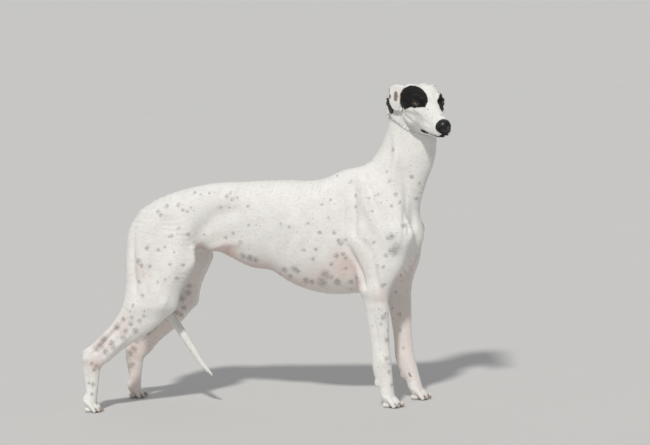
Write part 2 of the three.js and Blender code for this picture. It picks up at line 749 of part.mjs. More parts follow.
// Solids
const solidFrom = (positions, faces) =>
  new wasm.Manifold(new wasm.Mesh({ numProp: 3, vertProperties: positions, triVerts: faces }));
function solidOfGeometry(geometry) {
  const bare = new THREE.BufferGeometry();
  bare.setAttribute("position", geometry.getAttribute("position"));
  if (geometry.index) bare.setIndex(geometry.index);
  const merged = mergeVertices(bare, 1e-4);
  return solidFrom(new Float32Array(merged.attributes.position.array), new Uint32Array(merged.index.array));
}
const largest = (solid) => {
  const parts = solid.decompose();
  return parts.reduce((a, b) => (a.volume() > b.volume() ? a : b));
};
function geometryOf(solid) {
  const { vertProperties, triVerts } = solid.getMesh();
  const geometry = new THREE.BufferGeometry();
  geometry.setAttribute("position", new THREE.BufferAttribute(vertProperties, 3));
  geometry.setIndex(new THREE.BufferAttribute(triVerts, 1));
  geometry.computeVertexNormals();
  return geometry;
}

// A convex region bounded by planes; each plane is [point, normal], and keeps what lies along its normal
function region(planes, grow = 0) {
  let solid = solidOfGeometry(new THREE.BoxGeometry(4000, 4000, 4000));
  for (const [point, normal] of planes) {
    const n = unit(normal);
    solid = solid.trimByPlane(n, dot(point, n) - grow);
  }
  return solid;
}
const keepAbove = (solid, planes) =>
  planes.reduce((left, [point, normal]) => {
    const n = unit(normal);
    return left.trimByPlane(n, dot(point, n) + gap / 2);
  }, solid);
const flip = ([point, normal]) => [point, normal.map((x) => -x)];
const coarse = (low, high, size, triangles, field = flesh) => {
  const skin = thinned(skinOf(field, low, high, [size, size, size]), triangles);
  return solidFrom(skin.positions, skin.faces);
};

// Cuts between the sub-parts
const neckCut = [[345, 0, 655], [0.5, 0, 0.85]];
const foreBlock = (s) => {
  const shift = foreJoints[s].point[0] - 425;
  return [
    [[0, s * 41, 0], [0, s, 0]],
    [[252 + shift, 0, 600], [1, 0, 0.12]],
    [[300 + shift, 0, 668], [-0.35, 0, -1]],
    flip(neckCut),
  ];
};
const elbowCut = (s) => [[0, 0, foreJoints[s].elbow[2] - 22], [0, 0, -1]];
const wristCut = (s) => [plus(foreJoints[s].wrist, [0, 0, -66]), [0.28, 0, -1]];
const hindBlock = (s) => [
  [[0, s * 26, 0], [0, s, 0]],
  [[-185, 0, 446], [-1, 0, 0.3]],
  [[-330, 0, 580], [-0.1, 0, -1]],
];
const kneeCut = (s) => [plus(hindJoints[s].knee, [0, 0, -34]), [-0.45, 0, -1]];
const hockCut = (s) => [plus(hindJoints[s].hock, [6, 0, -8]), [-0.1, 0, -1]];
const footCut = (s) => [plus(hindJoints[s].paw, [0, 0, 56]), [0, 0, -1]];
const headCut = [outOfHead([-84, 0, -30]), headAxes.u.map((x, i) => x * 0.62 + headAxes.w[i] * 0.72)];
const loinFront = [[-30, 0, 0], [-1, 0, 0]];
const loinRear = [[-150, 0, 470], [-1, 0, 0.1]];
const floorPlane = [[0, 0, floorLevel - gap / 2], [0, 0, 1]];

const colours = {
  coat: [0xe9e6e0, 0.75],
  nose: [0x17171a, 0.35],
  eye: [0x4a2f1c, 0.1],
  chain: [0xa9abae, 0.3],
};
const materialOf = (name) =>
  new THREE.MeshStandardMaterial({
    color: colours[name][0],
    roughness: colours[name][1],
    metalness: name === "chain" ? 1 : 0,
  });
const dog = new THREE.Group();
const solids = {};
const node = (name, solid, material = "coat") => {
  solids[name] = largest(solid);
  const mesh = new THREE.Mesh(geometryOf(solids[name]), materialOf(material));
  mesh.name = name;
  dog.add(mesh);
};
const sideName = (s) => (s < 0 ? "right" : "left");
const without = (solid, cutters) => cutters.reduce((left, cutter) => left.subtract(cutter), solid);

// The same solid with its surface moved outwards, for cutting what touches it
function grown(solid, by) {
  const geometry = geometryOf(solid);
  const { position, normal } = geometry.attributes;
  for (let i = 0; i < position.count; i++) {
    position.setXYZ(
      i,
      position.getX(i) + normal.getX(i) * by,
      position.getY(i) + normal.getY(i) * by,
      position.getZ(i) + normal.getZ(i) * by,
    );
  }
  return solidFrom(position.array, geometry.index.array);
}

// Nose leather, with its nostrils and the groove between them
const noseField = sculpt([
  add(mass([107, 0, -26], [14, 18.5, 13.5]), 1),
  add(mass([102, 0, -18], [15, 15.5, 11]), 6),
  ...bothSides((s) => [
    take(
      tube([
        [120, s * 7.5, -25, 3.2, 3.8, 3.8],
        [114, s * 13.5, -28, 2.7, 2.9, 2.9],
        [106, s * 18, -29, 1.2, 1.6, 1.6],
      ]),
      2,
    ),
  ]),
  take(tube([[123, 0, -19, 0.8, 1, 1], [120, 0, -36, 0.8, 1, 1]]), 2),
]);
const noseInPlace = (p) => noseField(intoHead(p)) * headScale;
const noseMid = outOfHead([105, 0, -24]);
const noseSolid = coarse(plus(noseMid, [1, 1, 1], -27), plus(noseMid, [1, 1, 1], 27), 2.6, 360, noseInPlace);

// Eyes: whole balls in sockets that fit them
const ball = (centre, radius) => {
  const geometry = new THREE.SphereGeometry(radius, 14, 9);
  geometry.translate(...centre);
  return solidOfGeometry(geometry);
};
const eyes = [-1, 1].map((s) => ({ s, centre: outOfHead(eyeAt(s)) }));

// Head, neck and trunk
const headLow = plus(eyeMid, [-130, -150, -115]);
const headHigh = plus(eyeMid, [115, 110, 65]);
const headSolid = without(keepAbove(coarse(headLow, headHigh, 4.4, 4700), [headCut]), [
  grown(noseSolid, gap),
  ...eyes.map(({ centre }) => ball(centre, eyeRadius + gap)),
]);
node("head", headSolid);
node("nose", noseSolid, "nose");
for (const { s, centre } of eyes) node(`eye_${sideName(s)}`, ball(centre, eyeRadius), "eye");
node("neck", keepAbove(coarse([250, -110, 530], [560, 110, 960], 11, 760), [neckCut, flip(headCut)]));
const blocks = (make) => [region(make(-1), gap / 2), region(make(1), gap / 2)];
const chestSolid = coarse([-60, -150, 290], [490, 150, 740], 15, 1300);
node("chest", without(keepAbove(chestSolid, [flip(loinFront), flip(neckCut)]), blocks(foreBlock)));
node("loin", keepAbove(coarse([-210, -150, 370], [10, 150, 720], 15, 380), [loinFront, flip(loinRear)]));
const rumpSolid = coarse([-480, -150, 300], [-110, 150, 700], 14, 900);
node("rump", without(keepAbove(rumpSolid, [loinRear]), blocks(hindBlock)));

// Slip chain round the top of the neck, with its ring
const chainMid = [450, -4, 840];
const chainNormal = unit([0.5, -0.2, 1]);
const chainRadius = 2;
const chainClear = 1.8;
const chainSteps = 40;
const chainSide = unit(cross(chainNormal, [0, 1, 0]));
const chainOut = (angle) =>
  plus(chainSide.map((x) => x * Math.cos(angle)), cross(chainNormal, chainSide), Math.sin(angle));
const chainRings = Array.from({ length: chainSteps }, (_, i) => {
  const out = chainOut((2 * Math.PI * i) / chainSteps);
  let reach = 25;
  while (flesh(plus(chainMid, out, reach)) < chainRadius + chainClear) reach += 0.25;
  const centre = plus(chainMid, out, reach);
  return Array.from({ length: 6 }, (_, j) => {
    const a = (-2 * Math.PI * j) / 6;
    return plus(plus(centre, out, chainRadius * Math.cos(a)), chainNormal, chainRadius * Math.sin(a));
  });
});
const headAndNeck = ["head", "neck"].map((name) => grown(solids[name], gap));
node("collar", without(tubeOfRings(chainRings, true), headAndNeck), "chain");

// Ears: a thin cupped sheet each, folded back along the neck with its tip down. Rows run from the
// front edge over the fold to the rear edge, and each row from the root outwards.
const earGap = 0.5;
const earSet = { [-1]: [0, 0, 0], 1: [-10, -4, -8] };
const earRows = [
  [[-50, 38, -24], [-56, 46, -28], [-60, 55, -42], [-72, 64, -40], [-81, 70, -28]],
  [[-48, 36, -8], [-54, 46, -8], [-64, 57, -16], [-76, 65, -14], [-86, 71, -12]],
  [[-52, 32, 15], [-60, 45, 21], [-75, 57, 19], [-86, 63, 14], [-93, 68, 7]],
  [[-60, 28, 15], [-69, 42, 18], [-87, 55, 14], [-96, 61, 8], [-102, 67, 0]],
  [[-70, 26, -8], [-79, 41, -11], [-97, 58, -22], [-104, 63, -23], [-107, 68, -20]],
  [[-74, 26, -32], [-82, 43, -38], [-98, 60, -64], [-103, 65, -67], [-104, 68, -48]],
];
const earThickness = 4;
function sheetOf(rows, thickness) {
  const spot = (list, x) => {
    const i = Math.min(Math.floor(x), list.length - 2);
    return smoothRow(list, i, x - i);
  };
  const down = (rows.length - 1) * 2 + 1;
  const over = (rows[0].length - 1) * 2 + 1;
  const grid = Array.from({ length: down }, (_, i) =>
    Array.from({ length: over }, (_, j) => spot(rows.map((row) => spot(row, j / 2)), i / 2)),
  );
  const near = (i, n) => Math.min(Math.max(i, 0), n - 1);
  const face = (way) =>
    grid.flatMap((row, i) =>
      row.map((p, j) => {
        const along = plus(grid[i][near(j + 1, over)], grid[i][near(j - 1, over)], -1);
        const across = plus(grid[near(i + 1, down)][j], grid[near(i - 1, down)][j], -1);
        const edge = i === 0 || j === over - 1 || i === down - 1 ? 0.45 : 1;
        return plus(p, unit(cross(along, across)), (way * edge * thickness) / 2);
      }),
    );
  const count = down * over;
  const faces = [];
  const quad = (a, b, c, d) => faces.push(a, b, c, a, c, d);
  for (let i = 0; i < down - 1; i++)
    for (let j = 0; j < over - 1; j++) {
      const [a, b, c, d] = [i * over + j, i * over + j + 1, (i + 1) * over + j + 1, (i + 1) * over + j];
      faces.push(a, b, c, a, c, d, count + a, count + c, count + b, count + a, count + d, count + c);
    }
  const rim = [
    ...Array.from({ length: over - 1 }, (_, j) => j),
    ...Array.from({ length: down - 1 }, (_, i) => i * over + over - 1),
    ...Array.from({ length: over - 1 }, (_, j) => down * over - 1 - j),
    ...Array.from({ length: down - 1 }, (_, i) => (down - 1 - i) * over),
  ];
  rim.forEach((a, i) => {
    const b = rim[(i + 1) % rim.length];
    quad(b, a, count + a, count + b);
  });
  return solidFrom(new Float32Array([...face(1), ...face(-1)].flat()), new Uint32Array(faces));
}
const underEars = ["head", "neck", "collar"].map((name) => grown(solids[name], earGap));
for (const s of [-1, 1]) {
  const placed = earRows.map((row) => row.map((p) => outOfHead(plus([p[0], s * p[1], p[2]], earSet[s]))));
  node(`ear_${sideName(s)}`, without(sheetOf(placed, earThickness), underEars));
}

// Legs
for (const s of [-1, 1]) {
  const fore = foreJoints[s];
  const hind = hindJoints[s];
  const around = (p, lx, ly, lz, hx, hy, hz) => [
    [p[0] - lx, p[1] - ly, p[2] - lz],
    [p[0] + hx, p[1] + hy, p[2] + hz],
  ];
  const name = sideName(s);
  const [shoulderLow, shoulderHigh] = around([370, s * 70, 500], 150, 75, 200, 150, 75, 230);
  const shoulderCuts = [...foreBlock(s), flip(elbowCut(s))];
  node(`shoulder_${name}`, keepAbove(coarse(shoulderLow, shoulderHigh, 13, 620), shoulderCuts));
  const [armLow, armHigh] = around(fore.elbow, 70, 50, 300, 90, 50, 20);
  const armCuts = [elbowCut(s), flip(wristCut(s)), foreBlock(s)[0]];
  node(`forearm_${name}`, keepAbove(coarse(armLow, armHigh, 9, 420), armCuts));
  const [pawLow, pawHigh] = around(fore.paw, 70, 40, 12, 60, 40, 110);
  node(`forepaw_${name}`, keepAbove(coarse(pawLow, pawHigh, 4.6, 900), [wristCut(s), floorPlane]));
  const [thighLow, thighHigh] = around([-330, s * 85, 440], 180, 90, 190, 210, 90, 180);
  node(`thigh_${name}`, keepAbove(coarse(thighLow, thighHigh, 14, 700), [...hindBlock(s), flip(kneeCut(s))]));
  const [shankLow, shankHigh] = around(mixPoint(hind.knee, hind.hock, 0.5), 170, 60, 150, 230, 60, 150);
  node(`shank_${name}`, keepAbove(coarse(shankLow, shankHigh, 10, 560), [kneeCut(s), flip(hockCut(s))]));
  const [hockLow, hockHigh] = around(hind.hock, 80, 40, 130, 70, 40, 30);
  node(`metatarsus_${name}`, keepAbove(coarse(hockLow, hockHigh, 8, 320), [hockCut(s), flip(footCut(s))]));
  const [footLow, footHigh] = around(hind.paw, 60, 40, 12, 60, 40, 75);
  node(`hindpaw_${name}`, keepAbove(coarse(footLow, footHigh, 4.6, 800), [footCut(s), floorPlane]));
}

// Tail, a tapered round loft in three lengths
const ringAcross = (centre, along, side, wide, deep, sides) => {
  const across = unit(plus(side, along, -dot(side, along)));
  const over = cross(along, across);
  return Array.from({ length: sides }, (_, i) => {
    const a = (2 * Math.PI * i) / sides;
    return plus(plus(centre, across, wide * Math.cos(a)), over, deep * Math.sin(a));
  });
};
const tailRings = tailStations
  .slice(0, -1)
  .flatMap((_, i) => [0, 1 / 3, 2 / 3].map((t) => smoothRow(tailStations, i, t)));
tailRings.push(tailStations.at(-1));
const tailSolid = tubeOfRings(
  tailRings.map((ring, i) => {
    const next = tailRings[Math.min(i + 1, tailRings.length - 1)];
    const last = tailRings[Math.max(i - 1, 0)];
    const along = unit(plus(next, last, -1).slice(0, 3));
    return ringAcross(ring.slice(0, 3), along, [0, 1, 0], ring[3], ring[4], 10);
  }),
);
const tailNeighbours = ["rump", "thigh_left", "thigh_right"].map((name) => grown(solids[name], gap));
const clearTail = largest(without(tailSolid, tailNeighbours));
node("tail_base", keepAbove(clearTail, [flip(tailCuts[0])]));
node("tail_middle", keepAbove(clearTail, [tailCuts[0], flip(tailCuts[1])]));
node("tail_tip", keepAbove(clearTail, [tailCuts[1]]));

// The origin is on the floor, under the middle of the whole
const box = new THREE.Box3().setFromObject(dog);
const middle = box.getCenter(new THREE.Vector3());
dog.position.set(-middle.x, -middle.y, -box.min.z);

export default dog;
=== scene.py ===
import math

import bmesh
import bpy
import numpy as np
from mathutils import Matrix, Vector
from mathutils.bvhtree import BVHTree
from mathutils.kdtree import KDTree


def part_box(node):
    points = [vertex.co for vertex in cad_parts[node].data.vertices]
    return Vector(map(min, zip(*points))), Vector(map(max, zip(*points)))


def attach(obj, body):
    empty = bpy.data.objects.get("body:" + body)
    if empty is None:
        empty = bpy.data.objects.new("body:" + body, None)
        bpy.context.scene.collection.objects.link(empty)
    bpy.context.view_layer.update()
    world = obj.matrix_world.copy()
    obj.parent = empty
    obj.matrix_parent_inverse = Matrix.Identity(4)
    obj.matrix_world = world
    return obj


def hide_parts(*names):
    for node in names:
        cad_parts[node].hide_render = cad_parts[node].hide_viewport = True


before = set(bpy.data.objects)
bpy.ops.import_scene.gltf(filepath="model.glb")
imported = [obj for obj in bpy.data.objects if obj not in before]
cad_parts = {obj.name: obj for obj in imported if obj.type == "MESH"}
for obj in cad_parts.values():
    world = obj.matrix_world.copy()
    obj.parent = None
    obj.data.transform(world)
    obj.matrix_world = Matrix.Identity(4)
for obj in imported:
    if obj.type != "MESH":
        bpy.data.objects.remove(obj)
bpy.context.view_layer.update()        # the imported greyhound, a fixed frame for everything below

# The dog's own frame is in millimetres: +X forward, +Y to its left, the floor at z = 0.
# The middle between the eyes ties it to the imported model.
headPose = dict(eyeMid=(524, -90, 905), yaw=-55.4, pitch=17.6, roll=-1.0, scale=1.15)


def middleOf(node):
    low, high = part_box(node)
    return np.array((low + high) / 2)


eyeMid = np.array(headPose["eyeMid"], float)
origin = (middleOf("eye_right") + middleOf("eye_left")) / 2 - eyeMid / 1000


def toWorld(p):
    return np.asarray(p, float) / 1000 + origin


def unit(v):
    v = np.asarray(v, float)
    return v / np.linalg.norm(v)


def turns(count):
    return [2 * math.pi * j / count for j in range(count)]


# Camera: in front of the right side, a little above, tilted as the photograph is.
photo = dict(turn=15.0, height=7.6, roll=3.0, distance=8.0, focal=2664.0, width=650, tall=445,
             aim=(0, 0, 433), aimPixel=(270, 262))


def cameraAxes():
    turn, height, roll = (math.radians(photo[k]) for k in ("turn", "height", "roll"))
    back = np.array([math.sin(turn) * math.cos(height), -math.cos(turn) * math.cos(height), math.sin(height)])
    flat = np.array([math.cos(turn), math.sin(turn), 0.0])
    lift = np.cross(flat, -back)
    right = flat * math.cos(roll) - lift * math.sin(roll)
    up = flat * math.sin(roll) + lift * math.cos(roll)
    return right, up, back


def makeCamera():
    right, up, back = cameraAxes()
    place = toWorld(photo["aim"]) + back * photo["distance"]
    dx = photo["width"] / 2 - photo["aimPixel"][0]
    dy = photo["tall"] / 2 - photo["aimPixel"][1]
    ahead = unit(-back + right * dx / photo["focal"] - up * dy / photo["focal"])
    across = unit(np.cross(ahead, up))
    over = np.cross(across, ahead)
    data = bpy.data.cameras.new("photo_camera")
    data.sensor_width = 36
    data.lens = photo["focal"] / photo["width"] * data.sensor_width
    data.clip_start, data.clip_end = 0.1, 60
    camera = bpy.data.objects.new("photo_camera", data)
    bpy.context.scene.collection.objects.link(camera)
    turned = Matrix((across, over, -ahead)).transposed().to_4x4()
    camera.matrix_world = Matrix.Translation(place) @ turned
    bpy.context.scene.camera = camera


makeCamera()
print("camera set")


# Smooth body forms as distance fields. A tube follows stations [x, y, z, half width, rise, drop].
def catmull(points, steps):
    points = np.asarray(points, float)
    padded = np.vstack([points[:1], points, points[-1:]])
    t = (np.arange(steps) / steps)[:, None]
    rows = []
    for i in range(len(points) - 1):
        p0, p1, p2, p3 = padded[i:i + 4]
        rows.append(0.5 * (2 * p1 + (p2 - p0) * t + (2 * p0 - 5 * p1 + 4 * p2 - p3) * t ** 2
                           + (3 * p1 - p0 - 3 * p2 + p3) * t ** 3))
    return np.vstack(rows + [points[-1:]])


def tube(stations, side=(0, 1, 0), steps=4, square=2.0, squareDrop=None, cap=1.0):
    fine = catmull(stations, steps)
    reach = fine[:, 3:6].max()

    def field(p, margin):
        best = np.full(len(p), 1e3)
        for a, b in zip(fine, fine[1:]):
            axis = b[:3] - a[:3]
            along = unit(axis)
            wide = unit(np.array(side) - along * np.dot(side, along))
            deep = np.cross(along, wide)
            room = max(a[3:6].max(), b[3:6].max()) + margin
            near = np.all((p > np.minimum(a, b)[:3] - room) & (p < np.maximum(a, b)[:3] + room), axis=1)
            if not near.any():
                continue
            r = p[near] - a[:3]
            t = np.clip(r @ axis / (axis @ axis), 0, 1)
            c = r - t[:, None] * axis
            d = c @ deep
            sizes = a[3:6] + (b - a)[3:6] * t[:, None]
            hw, hd = sizes[:, 0], np.where(d > 0, sizes[:, 1], sizes[:, 2])
            he = cap * np.minimum(hw, hd)
            n = np.where(d > 0, square, squareDrop or square)
            kw, kd, ke = np.abs(c @ wide) / hw, np.abs(d) / hd, np.abs(c @ along) / he
            k = np.maximum((kw ** n + kd ** n + ke ** n) ** (1 / n), 1e-4)
            m = n - 1
            slope = k ** -m * np.sqrt((kw ** m / hw) ** 2 + (kd ** m / hd) ** 2 + (ke ** m / he) ** 2)
            best[near] = np.minimum(best[near], (k - 1) / np.maximum(slope, 1e-6))
        return best
    return dict(field=field, low=fine[:, :3].min(0) - reach, high=fine[:, :3].max(0) + reach)


def mass(centre, sizes, pitch=0.0):
    c, s = math.cos(math.radians(pitch)), math.sin(math.radians(pitch))
    size = np.array(sizes, float)

    def field(p, margin):
        r = p - np.array(centre)
        q = np.stack([r[:, 0] * c - r[:, 2] * s, r[:, 1], r[:, 0] * s + r[:, 2] * c], 1) / size
        k = np.maximum(np.linalg.norm(q, axis=1), 1e-4)
        return k * (k - 1) / np.linalg.norm(q / size, axis=1)
    reach = max(sizes)
    return dict(field=field, low=np.array(centre) - reach, high=np.array(centre) + reach)


def blend(a, b, k):
    h = np.maximum(k - np.abs(a - b), 0) / k
    return np.minimum(a, b) - h * h * k / 4


def add(shape, soft):
    return shape, soft, False


def take(shape, soft):
    return shape, soft, True


nearSkin = 15      # only what comes this close to a point can change its place


def fieldOf(layers, p):
    f = np.full(len(p), 1e3)
    for shape, soft, cut in layers:
        margin = soft + nearSkin
        near = np.all((p > shape["low"] - margin) & (p < shape["high"] + margin), axis=1)
        if near.any():
            d = shape["field"](p[near], margin)
            f[near] = -blend(-f[near], d, soft) if cut else blend(f[near], d, soft)
    return f


def bothSides(make):
    return make(-1) + make(1)


def between(a, b, t):
    return np.asarray(a, float) + (np.asarray(b, float) - np.asarray(a, float)) * t


# Trunk and neck
trunk = dict(
    stations=[
        [-412, 0, 540, 30, 10, 40], [-380, 0, 552, 50, 30, 66], [-330, 0, 566, 68, 64, 88],
        [-250, 0, 576, 72, 82, 100], [-170, 0, 586, 68, 88, 115], [-95, 0, 584, 71, 94, 138],
        [-20, 0, 570, 80, 112, 156], [50, 0, 552, 88, 131, 151], [120, 0, 532, 95, 148, 174],
        [190, 0, 518, 95, 172, 184], [260, 0, 515, 90, 194, 180], [330, 0, 520, 77, 176, 171],
        [388, 0, 530, 60, 128, 140], [428, 0, 538, 44, 84, 90], [450, 0, 545, 30, 52, 56],
    ],
    spine=[[300, 0, 716, 4, 5, 5], [120, 0, 688, 4, 5, 5], [-60, 0, 690, 4, 5, 5], [-240, 0, 670, 4, 5, 5]],
)
neck = dict(
    stations=[
        [325, 0, 600, 66, 95, 104], [372, 0, 655, 62, 86, 108], [404, 0, 708, 56, 76, 97],
        [426, 0, 756, 53, 69, 95], [440, -1, 802, 51, 65, 87], [448, -3, 845, 47, 61, 71],
        [456, -7, 888, 44, 54, 46],
    ],
)

# Legs: side -1 is the dog's right, which stands behind the left in both pairs
foreJoints = {
    -1: dict(point=(425, -74, 512), elbow=(337, -71, 352), wrist=(348, -63, 138), paw=(366, -61, 0)),
    1: dict(point=(427, 74, 512), elbow=(376, 72, 352), wrist=(390, 66, 138), paw=(426, 62, 0)),
}
hindJoints = {
    -1: dict(hip=(-322, -56, 585), knee=(-350, -84, 335), hock=(-546, -112, 167), paw=(-548, -116, 0)),
    1: dict(hip=(-316, 56, 585), knee=(-334, 84, 320), hock=(-482, 110, 151), paw=(-480, 114, 0)),
}


def foreLeg(s):
    point, elbow, wrist, paw = (np.array(foreJoints[s][k], float) for k in ("point", "elbow", "wrist", "paw"))
    shift = point[0] - 425
    sole = np.array([paw[0] - 6, paw[1], 30])

    def lower(t, *sizes):
        return [*between(elbow, wrist, t), *sizes]

    def pastern(t, *sizes):
        return [*between(wrist, sole, t), *sizes]

    def acrossArm(t):
        return point[0] + (elbow[0] - point[0]) * t
    scapula = tube([
        [272 + shift, s * 34, 664, 16, 30, 34], [325 + shift, s * 58, 612, 24, 46, 56],
        [385 + shift, s * 70, 558, 27, 54, 60], [*(point + [-4, 0, 4]), 27, 34, 50],
    ])
    upperArm = tube([
        [*(point + [-4, 0, 0]), 28, 30, 48], [acrossArm(0.4), s * 74, 446, 30, 42, 50],
        [acrossArm(0.78), s * 74, 394, 28, 42, 46], [*elbow, 26, 36, 36],
    ])
    triceps = tube([
        [315 + shift, s * 58, 598, 20, 60, 34], [312 + shift, s * 70, 515, 27, 64, 42],
        [(312 + shift) * 0.4 + (elbow[0] - 26) * 0.6, s * 75, 432, 25, 50, 32],
        [elbow[0] - 25, elbow[1], 362, 15, 24, 19],
    ])
    forearm = tube([
        lower(-0.04, 25, 37, 43), lower(0.14, 25, 35, 41), lower(0.32, 23, 32, 38), lower(0.58, 19, 27, 34),
        lower(0.82, 17.5, 24, 33), lower(1, 21, 25, 35), pastern(0.3, 20, 22, 35),
        pastern(0.6, 19, 20, 27), pastern(1, 21, 18, 19),
    ])
    stopper = mass(between(wrist, paw, 0.46) + [-29, s * 4, 0], [9, 8, 12])
    return [add(scapula, 36), add(upperArm, 36), add(triceps, 34), add(forearm, 18), add(stopper, 10)]


def hindLeg(s):
    hip, knee, hock, paw = (np.array(hindJoints[s][k], float) for k in ("hip", "knee", "hock", "paw"))
    sole = np.array([paw[0] - 5, paw[1], 32])

    def upper(t, *sizes):
        return [*between(hip, knee, t), *sizes]

    def lower(t, *sizes):
        return [*between(knee, hock, t), *sizes]

    def rear(t, *sizes):
        return [*between(hock + [0, 0, -12], sole, t), *sizes]
    thigh = tube([
        upper(0, 40, 60, 64), upper(0.2, 49, 96, 90), upper(0.4, 52, 122, 94), upper(0.56, 52, 122, 93),
        upper(0.76, 49, 98, 89), upper(0.92, 44, 84, 86), upper(1.04, 38, 76, 81),
    ], cap=0.7)
    shank = tube([
        lower(-0.1, 38, 64, 62), lower(0.08, 37, 69, 62), lower(0.3, 33, 65, 46), lower(0.48, 27, 57, 34),
        lower(0.66, 22, 49, 28), lower(0.86, 19, 47, 27), lower(1, 18, 40, 27),
    ])
    metatarsus = tube([
        [*(hock + [2, 0, 10]), 17, 34, 26], rear(0, 18, 34, 26), rear(0.3, 17, 29, 23),
        rear(0.55, 15.5, 25, 18), rear(0.8, 17, 22, 15), rear(1, 19, 20, 16),
    ])
    return [add(thigh, 34), add(shank, 26), add(metatarsus, 12)]


# Paws: four arched toes each; the claws are pieces of their own
pawSizes = dict(fore=1.0, hind=0.94, toes=[(-18, 9, -1.6), (-6.6, 0, -0.6), (6.6, 0, 0.6), (18, 9, 1.6)])


def pawPlace(at, heading, size):
    c, n = math.cos(math.radians(heading)), math.sin(math.radians(heading))

    def place(x, y, z):
        return [at[0] + (x * c - y * n) * size, at[1] + (x * n + y * c) * size, z * size]
    return place, [-n, c, 0]


def paws():
    found = []
    for s in (-1, 1):
        found.append((np.array(foreJoints[s]["paw"], float) + [-5, 0, 0], s * 3, pawSizes["fore"]))
        found.append((np.array(hindJoints[s]["paw"], float) + [-4, 0, 0], s * 3, pawSizes["hind"]))
    return found


def pawForms(at, heading, size):
    place, side = pawPlace(at, heading, size)

    def toe(y, back, spread):
        rows = [
            (-7 - back * 0.6, y * 0.7, 37, 9.5, 10.5, 10.5), (4 - back, y * 0.9, 33, 9, 10, 9.5),
            (14 - back, y, 24, 8.4, 9, 8.6), (22 - back, y + spread, 14, 8, 8.4, 8.2),
            (26 - back, y + spread, 7, 7.2, 7.2, 7.2),
        ]
        return tube([[*place(*row[:3]), *(np.array(row[3:]) * size)] for row in rows], side=side)
    wrist = tube([
        [*place(-11, 0, 42), 19 * size, 16 * size, 16 * size],
        [*place(-4, 0, 28), 20 * size, 14 * size, 14 * size],
    ], side=side)
    toes = [add(toe(*row), 2.6) for row in pawSizes["toes"]]
    return [add(wrist, 12), *toes, add(mass(place(-7, 0, 9), [16 * size, 17 * size, 11 * size]), 5)]


# Tail, hanging between the hind legs and curving forward at its tip
tail = dict(
    stations=[
        [-345, 0, 598, 26, 22, 22], [-384, 0, 578, 24, 21, 21], [-411, 0, 546, 20, 19, 19],
        [-427, 0, 500, 17, 17, 17], [-425, 0, 436, 16, 16, 16], [-404, -2, 372, 15, 15, 15],
        [-365, -5, 325, 14, 14.5, 14.5], [-329, -8, 286, 13.5, 14, 14], [-293, -10, 238, 13, 13.5, 13.5],
        [-256, -12, 178, 11, 11.5, 11.5], [-226, -12, 128, 8, 8.5, 8.5], [-196, -12, 93, 3, 3.5, 3.5],
    ],
    rootSoft=16,
)

# Head, in its own frame: u forward, v to the left, w up, from the middle between the eyes
def headAxes():
    yaw, pitch, roll = (math.radians(headPose[k]) for k in ("yaw", "pitch", "roll"))
    u = np.array([math.cos(pitch) * math.cos(yaw), math.cos(pitch) * math.sin(yaw), -math.sin(pitch)])
    flat = np.array([-math.sin(yaw), math.cos(yaw), 0])
    lift = np.cross(u, flat)
    v = flat * math.cos(roll) + lift * math.sin(roll)
    w = lift * math.cos(roll) - flat * math.sin(roll)
    return np.stack([u, v, w])


headTurn = headAxes()


def intoHead(p):
    return (np.asarray(p, float) - eyeMid) / headPose["scale"] @ headTurn.T


def outOfHead(p):
    return eyeMid + np.asarray(p, float) * headPose["scale"] @ headTurn


eye = dict(radius=11.5, apart=32, outward=(0.62, 0.77, 0.12), width=11.5, upper=6.6, lower=5.2)


def eyeAxes(s):
    outward = unit([eye["outward"][0], s * eye["outward"][1], eye["outward"][2]])
    across = unit(np.cross([0, 0, 1], outward))
    return outward, across, np.cross(outward, across)


def lids(s):
    outward, across, upward = eyeAxes(s)
    radius = eye["radius"] / headPose["scale"] + 1.4
    centre = np.array([0, s * eye["apart"], 0])

    def rim(angle, opening):
        a = eye["width"] * math.cos(angle)
        b = opening * math.sin(angle) * (1 - 0.3 * math.cos(angle) ** 2) - 0.1 * s * a
        o = math.sqrt(radius ** 2 - 0.62 * a * a - b * b)
        return centre + across * a + upward * b + outward * o

    def lid(start, opening, thick):
        angles = [start + math.pi * i / 8 for i in range(9)]
        return tube([[*rim(a, opening), thick, thick, thick] for a in angles], side=outward, steps=2)
    return [add(lid(0, eye["upper"], 2.1), 3), add(lid(math.pi, eye["lower"], 1.8), 3)]


def eyeOpening(s):
    outward, across, upward = eyeAxes(s)
    centre = np.array([0, s * eye["apart"], 0])

    def at(a, o):
        return centre + across * a + outward * o
    slit = [[*at(-7.5, 12), 4, 4, 4], [*at(0, 14), 8, 4.8, 4.8], [*at(7.5, 12), 4, 4, 4]]
    return [take(tube(slit, side=outward), 1.5)]


